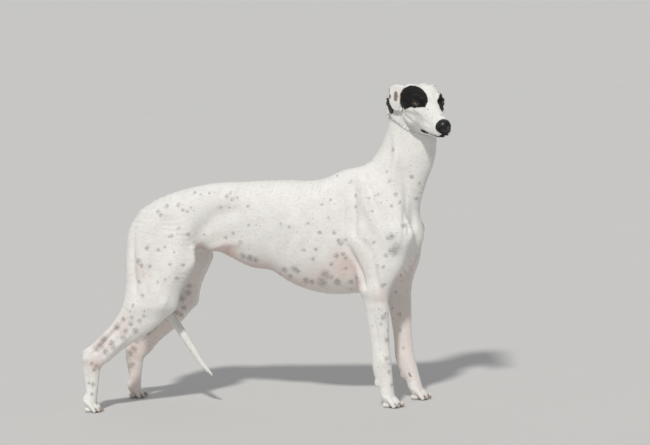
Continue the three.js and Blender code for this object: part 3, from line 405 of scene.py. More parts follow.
def headForms():
    def cheeks(s):
        return [
            add(tube([[18, s * 31, -15, 5, 7, 7], [-6, s * 40, -19, 6, 7, 8], [-30, s * 46, -20, 6, 8, 8],
                      [-58, s * 44, -13, 6, 8, 8]]), 9),
            add(mass([-32, s * 33, -42], [31, 13, 27], 20), 12),     # jaw muscle
            add(mass([-50, s * 23, 9], [36, 21, 18], 6), 14),        # temple muscle
            add(tube([[12, s * 24, 12, 6, 6, 6], [-2, s * 30.5, 14, 6, 6, 6],
                      [-16, s * 34, 10, 6, 6, 6]]), 8),              # brow
            add(tube([[36, s * 24, -48, 6, 12, 8], [60, s * 24.5, -46, 6, 12, 8], [86, s * 20, -43, 6, 11, 8],
                      [106, s * 10, -42, 6, 8, 4]]), 8),              # upper lip
            take(tube([[22, s * 35, 3, 5, 6, 7], [44, s * 32, -3, 4, 5, 6]]), 9),
            take(tube([[8, s * 41, -38, 3, 5, 5], [34, s * 35, -36, 3, 5, 5]]), 9),
            add(mass([0, s * eye["apart"], 0], [14, 13.5, 13.5]), 5),
        ]

    def mouth(s):
        return [take(tube([
            [14, s * 20.5, -67.5, 2.4, 1.8, 1.8], [32, s * 20.5, -65.5, 3.6, 2.8, 2.8],
            [52, s * 21, -60.5, 3.2, 2.4, 2.4], [66, s * 20.5, -58.5, 2.5, 1.8, 1.8],
            [80, s * 18, -56.5, 2.5, 1.6, 1.6], [94, s * 14.5, -54, 2.5, 1.5, 1.5],
            [104, s * 8.5, -51.5, 2.5, 1.5, 1.5], [110, s * 2, -49, 2.5, 1.5, 1.5],
        ]), 2.5)]
    skull = tube([
        [-106, 0, -8, 22, 15, 26], [-84, 0, -9, 35, 26, 42], [-52, 0, -10, 42, 35, 55],
        [-22, 0, -12, 41, 36, 60], [4, 0, -16, 35, 33, 58], [30, 0, -21, 30, 29, 53],
    ], square=2.3, squareDrop=2.1, cap=0.5)
    muzzle = tube([
        [0, 0, -19, 33, 30, 50], [28, 0, -23, 30.5, 31, 49], [54, 0, -27, 28, 28.5, 43],
        [80, 0, -30, 25, 25, 34.5], [96, 0, -32, 23, 21.5, 25], [105, 0, -33, 20, 17, 20.5],
    ], square=1.8, squareDrop=2.4, cap=0.45)
    bridge = tube([[34, 0, 1, 9, 7, 8], [62, 0, -5, 10, 7, 8], [92, 0, -13, 11, 7, 8]])
    jaw = tube([[-44, 0, -60, 24, 16, 24], [-16, 0, -64, 23, 16, 22], [18, 0, -65, 19, 12, 16],
                [72, 0, -56, 14, 7, 8], [100, 0, -47, 11, 6, 5.5]])
    return [
        add(skull, 1), add(muzzle, 10), add(mass([-100, 0, 2], [13, 11, 9]), 12), add(bridge, 8), add(jaw, 9),
        *bothSides(cheeks), *bothSides(lids), *bothSides(eyeOpening), *bothSides(mouth),
    ]


headLayers = headForms()
headShape = dict(
    field=lambda p, margin: fieldOf(headLayers, intoHead(p)) * headPose["scale"],
    low=eyeMid - [170, 150, 140], high=eyeMid + [150, 150, 90],
)

# Ears: rows run from the front edge over the fold to the rear edge, each from the root outwards
ear = dict(
    rows=[
        [[-50, 38, -24], [-56, 46, -28], [-60, 55, -42], [-72, 64, -40], [-81, 70, -28]],
        [[-48, 36, -8], [-54, 46, -8], [-64, 57, -16], [-76, 65, -14], [-86, 71, -12]],
        [[-52, 32, 15], [-60, 45, 21], [-75, 57, 19], [-86, 63, 14], [-93, 68, 7]],
        [[-60, 28, 15], [-69, 42, 18], [-87, 55, 14], [-96, 61, 8], [-102, 67, 0]],
        [[-70, 26, -8], [-79, 41, -11], [-97, 58, -22], [-104, 63, -23], [-107, 68, -20]],
        [[-74, 26, -32], [-82, 43, -38], [-98, 60, -64], [-103, 65, -67], [-104, 68, -48]],
    ],
    thickness=3.4, soft=5,
    place={-1: (0, 0, 0), 1: (-10, -4, -8)},
)


def earShape(s):
    rows = np.array(ear["rows"], float) * [1, s, 1] + ear["place"][s]
    along = np.stack([catmull(row, 4) for row in rows])
    grid = np.stack([catmull(along[:, j], 4) for j in range(along.shape[1])], 1)
    points = outOfHead(grid.reshape(-1, 3))
    down, over = grid.shape[:2]
    quads = [(i * over + j, i * over + j + 1, (i + 1) * over + j + 1, (i + 1) * over + j)
             for i in range(down - 1) for j in range(over - 1)]
    tree = BVHTree.FromPolygons([Vector(q) for q in points], quads)

    def field(p, margin):
        return np.array([tree.find_nearest(Vector(q))[3] for q in p]) - ear["thickness"] / 2
    return dict(field=field, low=points.min(0) - 3, high=points.max(0) + 3)


def fleshLayers():
    tailRoot = tube(tail["stations"][:4])
    tailRest = tube(tail["stations"][3:])
    toes = [form for paw in paws() for form in pawForms(*paw)]
    return [
        add(tube(trunk["stations"], square=2.15, squareDrop=2.0, cap=0.6), 1),
        *bothSides(hindLeg), *bothSides(foreLeg), add(tube(neck["stations"], square=2.1), 46), *toes,
        take(tube(trunk["spine"]), 14),
        add(tailRoot, tail["rootSoft"]), add(tailRest, 2),
        add(headShape, 22),
        *bothSides(lambda s: [add(earShape(s), ear["soft"])]),
    ]


flesh = fleshLayers()


def fleshField(p):
    return fieldOf(flesh, p)


# Mesh helpers
def newObject(name, points, faces, smooth=True):
    mesh = bpy.data.meshes.new(name)
    mesh.from_pydata([tuple(p) for p in points], [], [tuple(f) for f in faces])
    if smooth:
        mesh.shade_smooth()
    made = bpy.data.objects.new(name, mesh)
    bpy.context.scene.collection.objects.link(made)
    return made


def pointsOf(mesh):
    flat = np.zeros(len(mesh.vertices) * 3)
    mesh.vertices.foreach_get("co", flat)
    return flat.reshape(-1, 3)


def setPoints(mesh, points):
    mesh.vertices.foreach_set("co", np.asarray(points, np.float32).ravel())
    mesh.update()


def normalsOf(mesh):
    flat = np.zeros(len(mesh.vertices) * 3, np.float32)
    mesh.vertex_normals.foreach_get("vector", flat)
    return flat.reshape(-1, 3).astype(float)


def edgesOf(mesh):
    flat = np.zeros(len(mesh.edges) * 2, np.int32)
    mesh.edges.foreach_get("vertices", flat)
    return flat.reshape(-1, 2)


def evened(mesh, points, share, rounds, alongSkin=True):
    edges = edgesOf(mesh)
    ends = np.concatenate([edges[:, 0], edges[:, 1]])
    others = np.concatenate([edges[:, 1], edges[:, 0]])
    count = np.maximum(np.bincount(ends, minlength=len(points)), 1)
    for _ in range(rounds):
        total = np.stack([np.bincount(ends, points[others, k], len(points)) for k in range(3)], 1)
        step = total / count[:, None] - points
        if alongSkin:
            setPoints(mesh, points)
            normals = normalsOf(mesh)
            step -= normals * np.sum(step * normals, 1, keepdims=True)
        points = points + step * share
    return points


drawing = dict(probe=0.3, slopes=(0.4, 1.6), furthest=3.5)


def drawnOn(mesh, points, field, level, rounds):
    probe, furthest = drawing["probe"], drawing["furthest"]
    for _ in range(rounds):
        setPoints(mesh, points)
        normals = normalsOf(mesh)
        f = field(points) - level
        slope = (field(points + normals * probe) - level - f) / probe
        step = np.clip(f / np.clip(slope, *drawing["slopes"]), -furthest, furthest)
        points = points - normals * step[:, None]
    return points


# Muscles, folds and tendons. Body strokes have stations [x, z, width, height] seen from the side;
# a height below zero makes a groove. Head strokes have stations [u, v, w, width, height].
bodyStrokes = dict(
    shoulderBlade=[[305, 700, 12, 0], [313, 655, 14, 4.5], [329, 600, 16, 5], [350, 545, 18, 3.5],
                   [376, 505, 20, 0]],
    beforeBlade=[[296, 716, 9, 0], [322, 672, 11, -3.5], [345, 615, 12, -3.5], [372, 560, 12, 0]],
    behindBlade=[[280, 690, 12, 0], [285, 640, 13, -4.5], [288, 582, 13, -5], [288, 530, 12, -4.5],
                 [303, 512, 10, 0]],
    blade=[[398, 600, 22, 0], [402, 560, 24, 3], [404, 520, 24, 3.5], [396, 480, 22, 0]],
    tricepsFront=[[300, 517, 10, 0], [325, 486, 11, -4], [336, 447, 12, -4], [345, 385, 11, -5],
                  [350, 350, 9, 0]],
    tricepsHeads=[[318, 560, 24, 0], [312, 520, 26, 4], [308, 470, 24, 4.5], [318, 420, 20, 0]],
    elbowFold=[[246, 512, 10, 0], [262, 485, 11, -3.5], [286, 441, 10, -5.5], [302, 403, 8, -7],
               [309, 368, 7, -5]],
    belowElbow=[[252, 460, 26, 0], [262, 425, 28, -3], [270, 395, 24, 0]],
    throatVein=[[433, 720, 8, 0], [436, 680, 8, -2.5], [437, 631, 7, -3], [437, 574, 7, -3.5],
                [437, 516, 7, -3], [434, 490, 7, 0]],
    neckStrap=[[404, 800, 12, 0], [412, 750, 14, 4], [408, 700, 15, 3.5], [404, 650, 18, 0]],
    neckBand=[[397, 815, 9, 0], [396, 766, 11, -4], [384, 715, 12, -3.5], [362, 668, 14, 0]],
    breastFold=[[446, 625, 7, 0], [450, 572, 7, -4], [451, 533, 7, -5], [445, 495, 7, 0]],
    loin=[[-60, 640, 24, 0], [-120, 648, 26, 4], [-190, 645, 26, 4], [-250, 634, 24, 0]],
    hollow=[[-20, 600, 22, 0], [-110, 592, 26, -6], [-165, 560, 28, -8], [-212, 505, 24, -5],
            [-228, 460, 18, 0]],
    flankFold=[[-60, 500, 12, 0], [-122, 497, 12, 4], [-172, 480, 12, 5], [-208, 450, 12, 4],
               [-238, 420, 12, 0]],
    haunch=[[-262, 628, 22, 0], [-300, 610, 24, 5], [-330, 560, 26, 4], [-340, 520, 24, 0]],
    thighRear=[[-388, 560, 10, 0], [-396, 500, 12, -4.5], [-396, 440, 12, -5], [-390, 380, 12, -4],
               [-388, 330, 12, 0]],
    thighMiddle=[[-300, 520, 16, 0], [-322, 460, 18, -3.5], [-326, 400, 18, -4], [-338, 340, 18, 0]],
    thighFront=[[-256, 500, 22, 0], [-262, 450, 24, 4.5], [-276, 400, 24, 4.5], [-300, 350, 22, 0]],
    knee=[[-296, 352, 12, 0], [-304, 330, 13, 4], [-318, 308, 12, 0]],
    calf=[[-400, 350, 22, 0], [-404, 315, 22, 4], [-412, 285, 20, 0]],
    heelHollow=[[-424, 290, 9, 0], [-458, 252, 10, -6], [-494, 216, 10, -7], [-524, 188, 8, -3],
                [-532, 178, 7, 0]],
    heelTendon=[[-446, 288, 6, 0], [-486, 244, 6, 2.5], [-520, 210, 6, 2.5], [-548, 184, 7, 0]],
    shin=[[-384, 262, 9, 0], [-428, 226, 9, 2.5], [-476, 186, 9, 2.5], [-510, 150, 9, 0]],
    hockBone=[[-556, 176, 8, 0], [-560, 164, 9, 3], [-558, 148, 8, 0]],
    rearTendon=[[-552, 140, 5, 0], [-553, 110, 5, -2], [-551, 80, 5, -2], [-548, 60, 5, 0]],
    armTendon=[[330, 300, 6, 0], [334, 250, 6, -2.5], [338, 200, 6, -2.5], [342, 160, 6, 0]],
    wristBone=[[352, 158, 8, 0], [353, 140, 9, 2], [355, 122, 8, 0]],
    ribFirst=[[226, 560, 9, 0], [196, 500, 10, -1.6], [170, 440, 10, 0]],
    ribSecond=[[180, 570, 9, 0], [146, 505, 10, -1.8], [120, 448, 10, 0]],
    ribThird=[[130, 575, 9, 0], [96, 512, 10, -1.8], [70, 458, 10, 0]],
    ribFourth=[[80, 580, 9, 0], [46, 522, 10, -1.6], [22, 476, 10, 0]],
)
headStrokes = dict(
    cheekFold=[[-62, 55, -38, 5, 0], [-50, 50, -44, 5, -2.5], [-22, 46, -48, 5, -3], [12, 40, -54, 4, -2.5],
               [34, 35, -58, 4, 0]],
    underEye=[[-10, 44, -15, 3, 0], [4, 40, -20, 3.5, -2.2], [18, 36, -24, 3.5, -1.6], [30, 33, -27, 3.5, 0]],
    browRidge=[[-20, 36, 13, 5, 0], [-4, 32, 17, 6, 2], [14, 25, 13, 5, 0]],
    forehead=[[-50, 0, 28, 5, 0], [-20, 0, 24, 6, -2.2], [12, 0, 15, 6, -1.8], [36, 0, 8, 5, 0]],
    jawEdge=[[-60, 38, -66, 6, 0], [-20, 32, -72, 6, -2.5], [30, 22, -70, 5, -2], [60, 16, -64, 5, 0]],
    whiskerRowOne=[[44, 31, -38, 2.5, 0], [66, 29, -38, 3, 1.3], [90, 22, -36, 2.5, 0]],
    whiskerRowTwo=[[44, 33, -47, 2.5, 0], [66, 31, -47, 3, 1.3], [90, 24, -45, 2.5, 0]],
    muzzleVein=[[-4, 42, -30, 2.5, 0], [20, 38, -34, 3, 1.5], [44, 32, -28, 3, 1.2], [62, 28, -24, 2.5, 0]],
)
leftReach = dict(fore=([0, 138, 352, 512], [60, 42, 39, 2]), hind=([0, 150, 328, 585], [66, 60, 16, 6]))


# The left legs stand ahead of the right ones, and what lies on them goes with them
def sideShift(x, z, s):
    if s < 0:
        return 0.0
    heights, steps = leftReach["fore" if x > 150 else "hind"]
    return float(np.interp(z, heights, steps)) if abs(x) > 150 else 0.0


sculpting = dict(headFrom=800, headOver=40, facing=2.2, middle=8, margin=60)


def strokeHeight(stations, points, weight):
    fine = catmull(stations, 6)
    span = fine.shape[1] - 2
    height = np.zeros(len(points))
    least = fine[:, :span].min(0) - sculpting["margin"]
    most = fine[:, :span].max(0) + sculpting["margin"]
    near = np.where((weight > 0) & np.all((points > least) & (points < most), axis=1))[0]
    best = np.zeros(len(near))
    for a, b in zip(fine, fine[1:]):
        axis = (b - a)[:span]
        r = points[near] - a[:span]
        t = np.clip(r @ axis / (axis @ axis), 0, 1)
        far = np.linalg.norm(r - t[:, None] * axis, axis=1)
        wide, high = (a[span + k] + (b - a)[span + k] * t for k in (0, 1))
        lift = high * np.exp(-(far / wide) ** 2)
        best = np.where(np.abs(lift) > np.abs(best), lift, best)
    height[near] = best * weight[near]
    return height


def sculpted(points, normals):
    height = np.zeros(len(points))
    inHead = intoHead(points)
    flat = points[:, [0, 2]]
    headward = np.clip((flat[:, 1] - sculpting["headFrom"]) / sculpting["headOver"], 0, 1)
    for s in (-1, 1):
        outward = np.clip(normals[:, 1] * s * sculpting["facing"], 0, 1) * (1 - headward)
        outward = outward * (points[:, 1] * s > sculpting["middle"])
        for stations in bodyStrokes.values():
            moved = [[x + sideShift(x, z, s), z, *size] for x, z, *size in stations]
            height += strokeHeight(moved, flat, outward)
        for stations in headStrokes.values():
            if s < 0 or stations[0][1]:
                height += strokeHeight([[u, s * v, *rest] for u, v, *rest in stations], inHead, headward)
    return points + normals * height[:, None] * skinSizes["relief"]


# Skin: one surface for all flesh nodes, drawn on to the fields above
skinSizes = dict(voxel=3.4, level=-1.0, earSwell=1.4, fineBox=112, pawTop=45, sole=0.4, relief=1.55)
fleshNodes = [
    "head", "neck", "chest", "loin", "rump", "tail_base", "tail_middle", "tail_tip",
    *[f"{part}_{side}" for side in ("right", "left")
      for part in ("ear", "shoulder", "forearm", "forepaw", "thigh", "shank", "metatarsus", "hindpaw")],
]


def remeshed(points, faces, voxel):
    rough = newObject("rough", points, faces)
    remesh = rough.modifiers.new("one_surface", "REMESH")
    remesh.mode = "VOXEL"
    remesh.voxel_size = voxel
    shaped = bpy.data.meshes.new_from_object(rough.evaluated_get(bpy.context.evaluated_depsgraph_get()))
    bpy.data.objects.remove(rough)
    return shaped


def nodePoints(name):
    return (pointsOf(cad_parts[name].data) - origin) * 1000


def roughSkin():
    points, faces = [], []
    start = 0
    for name in fleshNodes + ["eye_right", "eye_left", "nose"]:
        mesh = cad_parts[name].data
        here = nodePoints(name)
        if name.startswith("ear"):
            here = here + normalsOf(mesh) * skinSizes["earSwell"]
        points.append(here)
        faces += [[start + v for v in face.vertices] for face in mesh.polygons]
        start += len(here)
    return remeshed(np.vstack(points), faces, skinSizes["voxel"])


def keepLargest(edit):
    left = set(edit.verts)
    islands = []
    while left:
        island, queue = set(), [left.pop()]
        while queue:
            vert = queue.pop()
            island.add(vert)
            for edge in vert.link_edges:
                other = edge.other_vert(vert)
                if other in left:
                    left.discard(other)
                    queue.append(other)
        islands.append(island)
    islands.sort(key=len)
    for island in islands[:-1]:
        bmesh.ops.delete(edit, geom=list(island), context="VERTS")
    return len(islands)


def makeSkin():
    mesh = roughSkin()
    edit = bmesh.new()
    edit.from_mesh(mesh)
    count = keepLargest(edit)
    headMid = Vector(outOfHead([10, 0, -20]))

    fine = [e for e in edit.edges if all(
        (v.co - headMid).length < skinSizes["fineBox"] or v.co.z < skinSizes["pawTop"] for v in e.verts)]
    bmesh.ops.subdivide_edges(edit, edges=fine, cuts=1, use_grid_fill=True)
    bmesh.ops.triangulate(edit, faces=[f for f in edit.faces if len(f.verts) > 4])
    edit.to_mesh(mesh)
    edit.free()
    points = evened(mesh, pointsOf(mesh), 0.5, 4, alongSkin=False)
    level = skinSizes["level"]
    points = drawnOn(mesh, points, fleshField, level, 2)
    points = evened(mesh, points, 0.5, 3)
    points = drawnOn(mesh, points, fleshField, level, 2)
    points = sculpted(points, normalsOf(mesh))
    points[:, 2] = np.maximum(points[:, 2], skinSizes["sole"])
    setPoints(mesh, toWorld(points))
    mesh.shade_smooth()
    skin = bpy.data.objects.new("skin", mesh)
    bpy.context.scene.collection.objects.link(skin)
    print("skin:", len(mesh.vertices), "points,", len(mesh.polygons), "faces, from", count, "islands")
    return skin


skin = makeSkin()
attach(skin, "root")
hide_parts(*fleshNodes)


# Materials
def addNode(tree, kind, inputs=None, **settings):
    made = tree.nodes.new(kind)
    for key, value in settings.items():
        setattr(made, key, value)
    for key, value in (inputs or {}).items():
        if isinstance(value, bpy.types.NodeSocket):
            tree.links.new(value, made.inputs[key])
        else:
            made.inputs[key].default_value = value
    return made


def newMaterial(name, **shader):
    material = bpy.data.materials.new(name)
    material.use_nodes = True
    bsdf = material.node_tree.nodes["Principled BSDF"]
    for key, value in shader.items():
        bsdf.inputs[key].default_value = value
    return material, material.node_tree, bsdf


# Markings, and painted shade in the ear's hollow and the mouth's corner. Spots are [x, z, radius] in
# millimetres seen from the side, and head patches are rings of [u, angle round the head]. Both end up as
# values on the points of skin and coat alike.
outerSpots = dict(
    croup=[[-312, 604, 6], [-289, 617, 6], [-303, 593, 6], [-256, 619, 7], [-242, 604, 6], [-228, 599, 5],
           [-218, 610, 4], [-208, 653, 5], [-188, 648, 4], [-161, 652, 5], [-125, 609, 6], [-105, 641, 7],
           [-89, 632, 6], [-40, 612, 5], [-95, 651, 5], [-74, 636, 4], [-273, 530, 6], [-230, 530, 6],
           [-292, 499, 5], [-264, 482, 4], [-253, 552, 4], [-90, 531, 6], [-116, 517, 6], [-70, 503, 6],
           [-187, 526, 4], [-39, 555, 5]],
    thigh=[[-374, 459, 9], [-365, 445, 7], [-345, 498, 9], [-312, 491, 6], [-276, 447, 5], [-240, 443, 6],
           [-260, 404, 7], [-293, 404, 5], [-318, 395, 5], [-366, 357, 6], [-339, 442, 6], [-375, 397, 6]],
    gaskin=[[-397, 328, 5], [-407, 309, 5], [-363, 309, 5], [-402, 291, 6], [-367, 293, 6], [-431, 284, 8],
            [-381, 279, 7], [-408, 270, 8], [-455, 259, 10], [-426, 247, 9], [-397, 249, 9], [-435, 228, 10],
            [-498, 224, 10], [-509, 203, 11], [-474, 212, 10], [-468, 200, 9], [-493, 186, 10],
            [-520, 191, 8]],
    hock=[[-537, 152, 7], [-523, 143, 9], [-531, 131, 8], [-553, 91, 6], [-539, 87, 8], [-543, 58, 6],
          [-526, 56, 5], [-531, 28, 5]],
    side=[[276, 677, 5], [292, 636, 6], [292, 604, 6], [215, 625, 5], [209, 574, 5], [190, 613, 5],
          [182, 531, 6], [225, 530, 6], [258, 507, 5], [89, 549, 6], [63, 558, 5], [148, 559, 5],
          [334, 629, 4], [344, 592, 4], [243, 499, 9], [237, 506, 7], [130, 479, 6], [166, 481, 6],
          [155, 452, 7], [228, 461, 8], [248, 464, 7], [210, 435, 7], [254, 452, 7]],
    brisket=[[95, 420, 12], [103, 413, 9], [124, 384, 11], [141, 380, 9], [174, 380, 16], [188, 402, 16],
             [204, 395, 9], [220, 379, 12], [260, 378, 9], [250, 420, 6], [282, 392, 6], [59, 417, 10],
             [75, 397, 8], [-69, 459, 10], [-48, 453, 12], [-30, 447, 10]],
    shoulder=[[402, 518, 11], [392, 513, 7], [413, 484, 13], [406, 472, 14], [396, 475, 9], [381, 461, 7],
              [435, 546, 6], [346, 501, 6], [370, 374, 6], [360, 639, 5], [409, 636, 6], [399, 604, 5],
              [421, 612, 5], [371, 427, 6], [354, 431, 5]],
    neck=[[404, 767, 6], [455, 685, 7], [392, 676, 6], [383, 703, 5], [463, 618, 6], [475, 663, 5]],
    foreleg=[[359, 274, 8], [365, 205, 8], [362, 151, 7], [364, 372, 8], [372, 235, 6], [366, 285, 5],
             [352, 255, 5], [374, 175, 5], [366, 110, 5], [372, 70, 5], [384, 36, 5]],
)
innerSpots = dict(
    thigh=[[-273, 396, 9], [-270, 358, 8], [-276, 337, 10], [-295, 320, 12], [-293, 290, 9], [-319, 276, 10],
           [-309, 267, 8]],
    shank=[[-401, 232, 13], [-419, 213, 12], [-443, 197, 13], [-463, 185, 12], [-488, 144, 14],
           [-502, 127, 14], [-491, 103, 12], [-504, 87, 12], [-475, 158, 12], [-483, 110, 9]],
    foreleg=[[372, 330, 6], [380, 262, 6], [378, 214, 5], [386, 160, 6]],
)
pinkPlaces = [[252, 425, 52, 0.5], [280, 385, 26, 0.5], [-116, 470, 36, 0.6], [-180, 455, 30, 0.5],
              [-500, 212, 30, 0.35], [-528, 146, 26, 0.5], [-440, 262, 34, 0.3], [-372, 430, 34, 0.25],
              [170, 385, 60, 0.35], [356, 338, 26, 0.25]]
eyePatches = {
    -1: [[-57, -11], [-59, 1], [-61, 16], [-59, 29], [-57, 40], [-57, 52], [-50, 65], [-40, 75], [-28, 82],
         [-10, 83], [10, 76], [22, 64], [29, 46], [34, 29], [19, 13], [8, 3], [-8, -2], [-14, -8], [-34, -21],
         [-54, -24]],
    1: [[-36, -12], [-42, 16], [-30, 36], [-8, 46], [12, 54], [32, 60], [46, 55], [60, 42], [58, 24], [34, 4],
        [10, -8], [-14, -13]],
}
patchTurn = 0.75         # mm along the head's side for one degree of angle
earMarks = [[-72, 58, 1, 5.5], [-70, 58, -6, 6.5], [-69, 59, -13, 5.5], [-86, 71, -12, 6.5]]
muzzleMarks = [[82, 3, -1, 6], [47, -23, -16, 3.5], [71, -17, -13, 2.5], [36, -27, -23, 3],
               [43, -19, -2, 2.5], [60, 24, -20, 3], [80, -20, -28, 2.5], [88, 12, -20, 3],
               [-58, 21, 28, 8]]
spotSpread = dict(seed=11, jitter=16, extra=34, smallest=2.4, largest=4.0, share=0.98,
                  facing=-0.15)


def spotsOn(s):
    outer = [spot for group in outerSpots.values() for spot in group]
    inner = [spot for group in innerSpots.values() for spot in group]
    rng = np.random.default_rng(spotSpread["seed"] + s)
    found = []
    for facing, group, own in ((s, outer, s < 0), (-s, inner, s > 0)):
        for x, z, radius in group:
            stray = np.zeros(2) if own else rng.normal(0, spotSpread["jitter"], 2)
            shift = sideShift(x, z, s) if facing == s else 0.0
            back = sideShift(x, z, 1) if facing != s and s < 0 else 0.0
            found.append((x + shift - back + stray[0], z + stray[1], radius, facing))
    for _ in range(spotSpread["extra"]):
        x, z = rng.uniform(-540, 460), rng.uniform(60, 700)
        found.append((x, z, rng.uniform(spotSpread["smallest"], spotSpread["largest"]), rng.choice([-s, s])))
    return found


def insideRing(p, ring):
    ring = np.array(ring, float) * [1, patchTurn]
    best = np.full(len(p), 1e3)
    inside = np.zeros(len(p), bool)
    for a, b in zip(ring, np.roll(ring, -1, 0)):
        edge, r = b - a, p - a
        t = np.clip(r @ edge / (edge @ edge), 0, 1)
        best = np.minimum(best, np.linalg.norm(r - t[:, None] * edge, axis=1))
        rise = b[1] - a[1] if abs(b[1] - a[1]) > 1e-6 else 1e-6
        crossed = (a[1] > p[:, 1]) != (b[1] > p[:, 1])
        inside ^= crossed & (p[:, 0] < edge[0] * (p[:, 1] - a[1]) / rise + a[0])
    return np.where(inside, best, -best)


def closeness(points, centre, radius):
    return np.clip(1 - np.linalg.norm(points - centre, axis=1) / (2 * radius), 0, 1)


def lineDistance(points, line):
    line = np.array(line, float)
    best = np.full(len(points), 1e3)
    for a, b in zip(line, line[1:]):
        r = points - a
        t = np.clip(r @ (b - a) / ((b - a) @ (b - a)), 0, 1)
        best = np.minimum(best, np.linalg.norm(r - t[:, None] * (b - a), axis=1))
    return best


def steady(x, low, high):
    t = np.clip((x - low) / (high - low), 0, 1)
    return t * t * (3 - 2 * t)


mouthLine = [[12, 20.5, -67.5], [32, 20.5, -65.5], [52, 21, -60.5], [66, 20.5, -58.5], [80, 18, -56.5],
             [94, 14.5, -54], [104, 8.5, -51.5], [110, 2, -49], [111, -1, -49]]
# The mouth's corner: dark lip skin, and painted shade in the slit between the lips
mouthCorner = [[17, 20, -67.5], [32, 20, -65.5], [50, 20.5, -61]]
# Painted shade: a dark band inside the ear's hollow, along this line
earHollowShade = [[-103, 67, -30], [-98, 62, -42], [-94, 56, -56]]
# Dark edges, and painted shade in the ear's hollow and the mouth's corner slit: full up to the first
# distance, gone at the second; the lip's grow by lipFront ahead
inkAndShadeReach = dict(lip=(2.6, 4.4), lipFront=(1.8, 3.0), corner=(4.6, 6.2), rim=(1.1, 1.5), hollow=(6, 11),
                nose=(17, 20.5), chin=(7, 10))
# Strength of the painted shade in the ear's hollow
hollowShade = 0.7
flush = dict(belly=0.55, inner=0.35)
freckles = dict(body=0.30, legs=0.3, belly=0.15)


def fading(distance, full, gone):
    return steady(-distance, -gone, -full)


def headPart(inHead):
    u, v, w = inHead[:, 0], np.abs(inHead[:, 1]), inHead[:, 2]
    near = (u > -150) & (v < 100) & (w < 60)
    return near * np.maximum(steady(0.9 * u + w, -126, -110), steady(v, 46, 54) * steady(w, -100, -85))


def markingsAndShade(points, normals):
    inHead = intoHead(points)
    flat = points[:, [0, 2]]
    isHead = headPart(inHead)
    onBody = isHead < 0.5
    spot = np.zeros(len(points))
    pink = np.zeros(len(points))
    for s in (-1, 1):
        here = onBody & (points[:, 1] * s > 0)
        for x, z, size, facing in spotsOn(s):
            radius = size * spotSpread["share"]
            beside = np.abs(flat - [x, z]).max(1) < 2 * radius
            near = np.where(here & beside & (normals[:, 1] * facing > spotSpread["facing"]))[0]
            spot[near] = np.maximum(spot[near], closeness(flat[near], [x, z], radius))
        for x, z, radius, strength in pinkPlaces:
            far = np.linalg.norm(flat - [x + sideShift(x, z, s), z], axis=1)
            pink = np.maximum(pink, np.where(here, strength * np.exp(-(far / radius) ** 2), 0))
    dark = np.full(len(points), -50.0)
    brown = np.zeros(len(points))
    inkAndShade = np.zeros(len(points))
    for s in (-1, 1):
        half = (inHead[:, 1] * s > -6) & (isHead > 0.5) & (inHead[:, 0] < 70)
        turned = np.degrees(np.arctan2(inHead[:, 2] + 12, inHead[:, 1] * s)) * patchTurn
        patch = insideRing(np.stack([inHead[:, 0], turned], 1), eyePatches[s])
        dark = np.maximum(dark, np.where(half & (np.abs(inHead[:, 1]) < 54), patch, -50))
        for u, v, w, radius in earMarks:
            brown = np.maximum(brown, closeness(inHead, [u, s * v, w], radius))
        lip = lineDistance(inHead, np.array(mouthLine) * [1, s, 1])
        corner = lineDistance(inHead, np.array(mouthCorner) * [1, s, 1])
        front = steady(inHead[:, 0], 84, 104)
        full, gone = (a + b * front for a, b in zip(inkAndShadeReach["lip"], inkAndShadeReach["lipFront"]))
        inkAndShade = np.maximum(inkAndShade, fading(lip, full, gone) * steady(inHead[:, 0], 12, 20))
        # Mouth corner: dark lip skin, with painted shade in the slit between the lips
        inkAndShade = np.maximum(inkAndShade, fading(corner, *inkAndShadeReach["corner"]))
        outward, across, upward = eyeAxes(s)
        r = inHead - [0, s * eye["apart"], 0]
        a, b = r @ across / eye["width"], r @ upward / eye["upper"]
        rim = np.sqrt(a * a + b * b)
        inkAndShade = np.maximum(inkAndShade, fading(rim, *inkAndShadeReach["rim"]) * (r @ outward > 4))
        # Painted shade inside the ear's hollow
        hollow = lineDistance(inHead, np.array(earHollowShade) * [1, s, 1])
        inkAndShade = np.maximum(inkAndShade, fading(hollow, *inkAndShadeReach["hollow"]) * hollowShade)
    for u, v, w, radius in muzzleMarks:
        spot = np.maximum(spot, closeness(inHead, [u, v, w], radius) * (isHead > 0.5))
    noseFar = np.linalg.norm((inHead - [105, 0, -26]) / [1, 1.15, 1], axis=1)
    inkAndShade = np.maximum(inkAndShade, fading(noseFar, *inkAndShadeReach["nose"]))
    chinFar = np.linalg.norm((inHead - [108, 0, -46]) / [1, 1.5, 0.7], axis=1)
    inkAndShade = np.maximum(inkAndShade, fading(chinFar, *inkAndShadeReach["chin"]))
    belly = steady(-normals[:, 2], 0.3, 0.9) * steady(points[:, 2], 330, 380) * onBody
    inner = steady(np.abs(points[:, 1]), 30, 60) * steady(-normals[:, 1] * np.sign(points[:, 1]), 0.2, 0.8)
    pink = np.maximum(pink, np.maximum(flush["belly"] * belly, flush["inner"] * inner * onBody))
    freckle = freckles["body"] + freckles["legs"] * fading(points[:, 2], 300, 430) + freckles["belly"] * belly
    legs = fading(points[:, 2], 330, 430)
    neckPart = steady(points[:, 0] + 0.5 * (points[:, 2] - 600), 380, 440)
    down = np.clip(np.maximum(legs, neckPart), 0, 1) * (1 - isHead)
    return dict(dark=np.clip(0.5 + dark / 9, 0, 1), spot=spot, pink=pink, brown=brown, inkAndShade=np.clip(inkAndShade, 0, 1),
                freckle=freckle, down=down, face=isHead,
                rear=steady(-inHead[:, 0] - 0.6 * inHead[:, 2], 26, 66))


def paintPoints(mesh, values):
    for name, value in values.items():
        layer = mesh.attributes.new(name, "FLOAT", "POINT")
        layer.data.foreach_set("value", np.asarray(value, np.float32))


skinPoints = (pointsOf(skin.data) - origin) * 1000
skinNormals = normalsOf(skin.data)
skinMarks = markingsAndShade(skinPoints, skinNormals)
paintPoints(skin.data, skinMarks)
print("markings painted")

